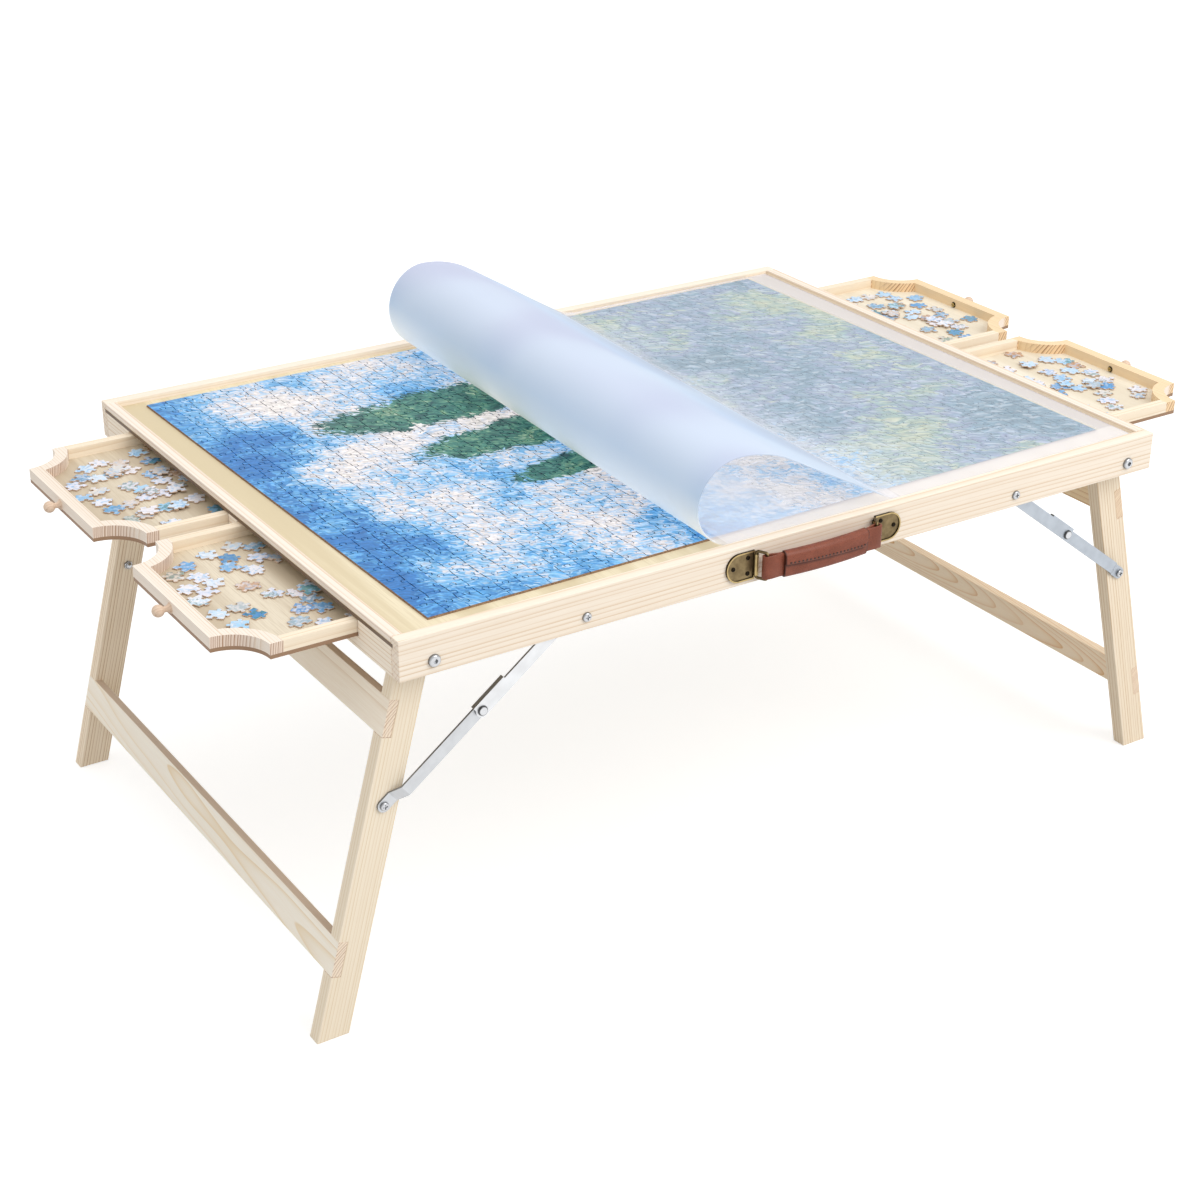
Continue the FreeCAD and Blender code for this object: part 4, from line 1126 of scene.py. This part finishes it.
def frosted_plastic():
    """Clear where it touches, milky off it; light passes, so a roll is bright inside; a glow is
    painted underneath.
    """
    material, shader, place, normal = new_material("frosted_plastic", Roughness=0.5,
                                                   Specular_IOR_Level=0.22, Emission_Strength=1.0)
    tree = material.node_tree
    lift = stored(tree, "lift")
    high = spread(lift, 0.0012, 0.012)
    level = spread(lift, 0.0, 2 * roll_radius, smooth=False)
    across = parts(place)[0]
    beyond = spread(across, roll_x - 0.03, roll_x + 0.05)
    cloud = spread(noise(place, 5.0, 1.0), 0.42, 0.62, 0.0, 0.6)
    milk = mix(cloud, mix(beyond, ramp(level, near_side_lit), ramp(level, far_side)),
               (0.66, 0.76, 0.88))
    from_x, from_y, height = parts(reckon("ABSOLUTE", place_in_picture(place)))
    past_end = spread(from_x, picture_length / 2 - 0.001, picture_length / 2 + 0.003)
    past_side = spread(from_y, picture_width / 2 - 0.001, picture_width / 2 + 0.003)
    margin = reckon("MAXIMUM", past_end, past_side)
    # Painted light: the bare margin at the front is lighter than at the end, lifting the shade that
    # the front rail casts on it.
    bare = mix(past_side, (0.70, 0.68, 0.72), (0.86, 0.84, 0.87))
    flat = mix(margin, (0.84, 0.88, 0.96), bare)
    shaded = high * spread(level, 0.08, 0.78, 1.0, 0.0) * (1.0 - beyond)
    haze = spread(across, roll_x + 0.02, roll_x + 0.14, arch_haze, flat_haze)
    haze = (margin_haze - haze) * margin + haze
    haze = haze * spread(lift, 0.0006, 0.0009, 1.0, landed_share)
    alpha = (milk_haze - haze) * high + haze
    alpha = alpha * spread(reckon("ABSOLUTE", parts(normal)[1]), 0.6, 0.9, 1.0, 0.35)
    rays = put(tree, "LightPath", {}).outputs
    lighting = reckon("MAXIMUM", Field(rays["Is Shadow Ray"]), Field(rays["Is Diffuse Ray"]))
    alpha = alpha * spread(lighting, 0.0, 1.0, 1.0, 1 - light_let_through, smooth=False)
    # Emission_Color paints the glow on the roll's shaded underside.
    connect(shader, Base_Color=mix(high, flat, milk), Alpha=alpha,
            Emission_Color=mix(shaded, (0, 0, 0), underside_glow))
    return material


apply_modifier(cover, "SOLIDIFY", thickness=sheet_thickness, offset=0.0)
bpy.ops.object.shade_smooth_by_angle(angle=math.radians(40))
settle(cover, "cover_film", "cover", "frosted_sheet", frosted_plastic())
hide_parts("cover_sheet")
print("cover frosted,", len(cover.data.polygons), "faces")

# %% [markdown]
# ## The leather grip
# The strap is one band of leather that runs from ring to ring and back behind itself, so both its
# ends are loops.  A vertical edge is pulled along that path, then the band gets its thickness.  A
# padded sleeve is wrapped round the middle and closed with a seam along its front.

# %% Sew the strap
ring_low, ring_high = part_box("left_handle_ring")
grip_low, grip_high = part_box("leather_grip")
wire_radius = 0.0013
bar_x = table_middle.x - (ring_high.x - wire_radius)          # from the table's middle
bar_y = ring_low.y + wire_radius
strap_height = grip_high.z - grip_low.z
strap_bow = 0.0047
leather = 0.0018
loop_radius = 0.0028
loop_slack = 0.0013             # how much longer a loop is, for the bar to slide as the ring swings
arc_radius = (bar_x ** 2 + strap_bow ** 2) / (2 * strap_bow)
arc_centre = Vector((table_middle.x, bar_y - strap_bow + arc_radius, 0))
arc_half = math.asin(bar_x / arc_radius)
handle_z = (grip_low.z + grip_high.z) / 2
neck_length = 0.014             # where the two layers open into a loop
layer_gap = 0.0001
strap_steps = 22
loop_steps = 12
edge_round = dict(width=0.0004, segments=2, limit_method="ANGLE")


def arc_point(angle, offset):
    """A point on the strap's line; angle from the middle, offset towards the viewer."""
    reach = arc_radius + offset
    return arc_centre + Vector((math.sin(angle), -math.cos(angle), 0)) * reach


def strap_path():
    """Round the strap once, from the middle of its front: right, back, left and home."""
    half_layer = leather / 2 + layer_gap
    neck = neck_length / arc_radius

    def offset(angle):
        opened = max(0.0, 1 - (arc_half - abs(angle)) / neck)
        eased = opened * opened * (3 - 2 * opened)
        return half_layer + (loop_radius - half_layer) * eased

    right = [arc_half * k / strap_steps for k in range(strap_steps)]
    path = [arc_point(a, offset(a)) for a in right]
    for side, start in ((1, 0), (-1, math.pi)):
        out = Vector((math.sin(side * arc_half), -math.cos(side * arc_half), 0))
        along = Vector((-out.y, out.x, 0))
        end = arc_point(side * arc_half, 0) + along * (side * loop_slack)
        for k in range(loop_steps + 1):
            turn = start + math.pi * k / loop_steps
            path.append(end + out * (loop_radius * math.cos(turn))
                        + along * (loop_radius * math.sin(turn)))
        if side > 0:
            back = [arc_half * (1 - k / strap_steps) for k in range(1, 2 * strap_steps)]
            path += [arc_point(a, -offset(a)) for a in back]
    return path + [arc_point(-a, offset(a)) for a in reversed(right[1:])]


def pull_band(name, path, low, high):
    """A vertical edge pulled along a closed path."""
    count = len(path)
    vertices = [(p.x, p.y, z) for p in path for z in (low, high)]
    faces = [[2 * k, 2 * ((k + 1) % count), 2 * ((k + 1) % count) + 1, 2 * k + 1]
             for k in range(count)]
    return outline_mesh(name, vertices, faces)


def grained_leather(name, base, dark):
    """Smooth reddish leather: fine creased grain, slow blotches, painted shade in the stored creases.
    """
    material, shader, place, normal = new_material(name, Specular_IOR_Level=0.3)
    pores = put(place.tree, "TexVoronoi", {"Vector": place, "Scale": 1500.0})
    grain = Field(pores.outputs["Distance"])
    blotch = noise(place, 70.0, 3.0)
    colour = mix(spread(blotch, 0.35, 0.7), base, tuple(v * 1.25 for v in base))
    colour = mix(spread(grain, 0.35, 0.75, 0.0, 0.45), colour, dark)
    # Painted shade: darker where the mesh stores a crease, under the flap's edge and at the sleeve's
    # ends.
    colour = mix(stored(place.tree, "crease_shade") * 0.85, colour, tuple(v * 0.3 for v in dark))
    connect(shader, Base_Color=colour, Roughness=spread(blotch, 0.3, 0.7, 0.52, 0.38))
    add_bump(shader, noise(place, 2600.0) * 0.4 + grain, 0.22, 0.0002)
    return material


brown_leather = grained_leather("brown_leather", (0.215, 0.059, 0.031), (0.090, 0.022, 0.012))
strap = pull_band("grip_strap", strap_path(), grip_low.z, grip_high.z)
edit_all()
bpy.ops.mesh.normals_make_consistent(inside=False)
bpy.ops.object.mode_set(mode="OBJECT")
apply_modifier(strap, "SOLIDIFY", thickness=leather, offset=0.0, use_even_offset=True)
apply_modifier(strap, "BEVEL", **edge_round)
bpy.ops.object.shade_smooth_by_angle(angle=math.radians(50))
settle(strap, "grip_strap", "grip", "leather", brown_leather)
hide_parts("leather_grip")
print("strap faces", len(strap.data.polygons))

# %% [markdown]
# The sleeve is wrapped round the strap and closed by a flap that comes over the top and ends on the
# front in a stitched edge.  The section is a circle whose points are moved to a rounded oblong with
# that step in it, spun along the strap's arc and closed at both ends.  The step is then slid down
# towards the right, because the flap's edge isn't quite level, and turned up at its corner.

# %% Wrap the sleeve and stitch it
sleeve_half = 0.0455
sleeve_height = strap_height + 0.0030
sleeve_front = 0.0042           # depth in front of the strap's line
sleeve_back = 0.0031
sleeve_steps = 60
section_points = 34
flap_step = 0.0015
flap_edge = 0.0006              # over the strap's middle, at the left end
flap_drop = 0.0036              # how much lower it is at the right end
flap_corner = 0.006             # length of the turned-up corner
flap_upturn = 0.0075
crease_shade_width = 0.0004
stitch_count = 21
stitch_inset = 0.0016           # from the flap's edge to the thread
stitch_margin = 0.005           # from the sleeve's ends to the last stitch
stitch_follow = 0.9             # how much of the edge's slope the row of stitches follows
stitch_size = (0.00115, 0.00070, 0.00080)


def rounded(depth, height):
    """A point of the unit circle moved out to the rounded oblong."""
    return (math.copysign(abs(depth) ** 0.42, depth),
            math.copysign(abs(height) ** 0.75, height) * sleeve_height / 2)


def sleeve_section():
    """Depth towards the viewer and height, once round, with the step of the flap's edge."""
    section = []
    for number in range(section_points):
        turn = -math.pi / 2 + 2 * math.pi * (number + 0.5) / section_points
        depth, height = rounded(math.cos(turn), math.sin(turn))
        if depth < 0:
            section.append((depth * sleeve_back, height))
        elif abs(height - flap_edge) > 0.0010:
            step = flap_step * min(1.0, (sleeve_height / 2 - height) / 0.003)
            section.append((depth * sleeve_front + (step if height > flap_edge else 0), height))
    below = [point for point in section if point[0] > 0 and point[1] < flap_edge]
    where = section.index(below[-1]) + 1
    edge = [(sleeve_front, flap_edge - 0.0006), (sleeve_front, flap_edge - 0.0001),
            (sleeve_front + flap_step * 0.8, flap_edge),
            (sleeve_front + flap_step, flap_edge + 0.0004)]
    return section[:where] + edge + section[where:]


def share_along(offset):
    """How far along the sleeve an offset from its middle is: 0 left, 1 right."""
    return min(1.0, max(0.0, (offset + sleeve_half) / (2 * sleeve_half)))


def flap_shift(share):
    """How far the flap's edge stands from its left height, at a share of the sleeve's length."""
    corner = max(0.0, 1 - (1 - share) * 2 * sleeve_half / flap_corner)
    return flap_upturn * corner * corner - flap_drop * share


def in_front(point):
    return (Vector((point.x, point.y, 0)) - arc_centre).length > arc_radius


def wrap_sleeve():
    section = sleeve_section()
    bpy.ops.object.select_all(action="DESELECT")
    bpy.ops.mesh.primitive_circle_add(vertices=len(section), radius=1)
    piece = bpy.context.object
    for vertex, (depth, height) in zip(piece.data.vertices, section):
        spot = arc_point(-sleeve_half / arc_radius, depth)
        vertex.co = (spot.x, spot.y, handle_z + height)
    edit_all()
    bpy.ops.mesh.spin(steps=sleeve_steps, angle=-2 * sleeve_half / arc_radius,
                      center=tuple(arc_centre), axis=(0, 0, 1))
    close_borders()
    for vertex in piece.data.vertices:
        height = vertex.co.z - handle_z
        fading = 1 - min(1.0, abs(height - flap_edge) / (sleeve_height / 2 - abs(flap_edge)))
        if in_front(vertex.co):
            vertex.co.z += flap_shift(share_along(vertex.co.x - table_middle.x)) * fading
    apply_modifier(piece, "BEVEL", angle_limit=math.radians(75), **edge_round)
    mark_crease_shade(piece)
    bpy.ops.object.shade_smooth_by_angle(angle=math.radians(40))
    return piece


def mark_crease_shade(piece):
    """Store painted shade where the flap's edge meets the leather under it, and at the sleeve's ends.
    """
    crease_shade = piece.data.attributes.new("crease_shade", "FLOAT", "POINT")
    for vertex in piece.data.vertices:
        share = share_along(vertex.co.x - table_middle.x)
        level = handle_z + flap_edge + flap_shift(share)
        below = abs(vertex.co.z - level + crease_shade_width / 2)
        from_end = min(share, 1 - share) * 2 * sleeve_half
        if from_end < 0.0006 or in_front(vertex.co) and below < crease_shade_width:
            crease_shade.data[vertex.index].value = 1.0


def sew_stitches():
    """Short thread loops along the flap's edge, each a small drawn-out ball turned along the arc."""
    bpy.ops.object.select_all(action="DESELECT")
    bpy.ops.mesh.primitive_uv_sphere_add(segments=8, ring_count=5, radius=1)
    loop = bpy.context.object
    loop.scale = stitch_size
    threads = []
    reach = sleeve_half - stitch_margin
    slope = math.atan(flap_drop / (2 * sleeve_half))
    for number in range(stitch_count):
        along = -reach + 2 * reach * number / (stitch_count - 1)
        thread = own_copy(loop)
        thread.rotation_euler = (0, slope, along / arc_radius)
        spot = arc_point(along / arc_radius, sleeve_front + flap_step + 0.00002)
        edge = handle_z + flap_edge + stitch_inset
        thread.location = (spot.x, spot.y, edge + flap_shift(share_along(along)) * stitch_follow)
        threads.append(thread)
    bpy.data.objects.remove(loop)
    select_only(*threads)
    bpy.ops.object.join()
    bpy.ops.object.shade_smooth()
    return bpy.context.object


def waxed_thread():
    material, shader, place, normal = new_material("waxed_thread")
    twist = spread(noise(place, 3000.0, 1.0), 0.3, 0.7)
    connect(shader, Base_Color=mix(twist, (0.018, 0.007, 0.005), (0.050, 0.020, 0.014)))
    return material


sleeve = settle(wrap_sleeve(), "grip_sleeve", "grip", "leather", brown_leather)
settle(sew_stitches(), "grip_stitches", "grip", "leather", waxed_thread())
print("sleeve faces", len(sleeve.data.polygons), "stitches", stitch_count)

# %% [markdown]
# ## Cap nuts on the legs
# The screw that holds a brace goes through the leg and ends in a small domed nut on its inner side.
# One nut is a bevelled six-sided prism, joined to a ball that is cut off flat inside it, and each
# leg gets a copy.

# %% Turn the cap nuts
nut_radius = 0.0046
nut_depth = 0.0024
dome_radius = 0.0036
dome_middle = 0.0022
dome_cut = 0.0020
nut_place = Vector((0.4196, 0.2674, 0.2154))     # from the table's middle and from the floor


def cap_nut():
    """One nut about the origin, its dome towards +Y."""
    lying = (math.pi / 2, 0, 0)
    bpy.ops.object.select_all(action="DESELECT")
    bpy.ops.mesh.primitive_cylinder_add(vertices=6, radius=nut_radius, depth=nut_depth,
                                        location=(0, nut_depth / 2, 0), rotation=lying)
    piece = bpy.context.object
    write_place()
    apply_modifier(piece, "BEVEL", width=0.0005, segments=2, limit_method="ANGLE",
                   angle_limit=math.radians(40))
    bpy.ops.object.select_all(action="DESELECT")
    bpy.ops.mesh.primitive_uv_sphere_add(segments=20, ring_count=10, radius=dome_radius,
                                         location=(0, dome_middle, 0), rotation=lying)
    dome = bpy.context.object
    write_place()
    edit_all()
    bpy.ops.mesh.bisect(plane_co=(0, dome_cut, 0), plane_no=(0, 1, 0), clear_inner=True,
                        use_fill=True)
    bpy.ops.object.mode_set(mode="OBJECT")
    select_only(piece, dome)
    bpy.ops.object.join()
    bpy.ops.object.shade_smooth_by_angle(angle=math.radians(35))
    return bpy.context.object


nut_pattern = cap_nut()
for end, sign in (("left", -1), ("right", 1)):
    for side, across, turn in (("front", -1, 0), ("rear", 1, math.pi)):
        nut = own_copy(nut_pattern)
        nut.rotation_euler = (0, 0, turn)
        nut.location = (table_middle.x + sign * nut_place.x,
                        table_middle.y + across * nut_place.y, nut_place.z)
        settle(nut, "%s_%s_cap_nut" % (end, side), end + "_legs", "zinc_fastener", bolt_zinc)
bpy.data.objects.remove(nut_pattern)
print("cap nuts on four legs")
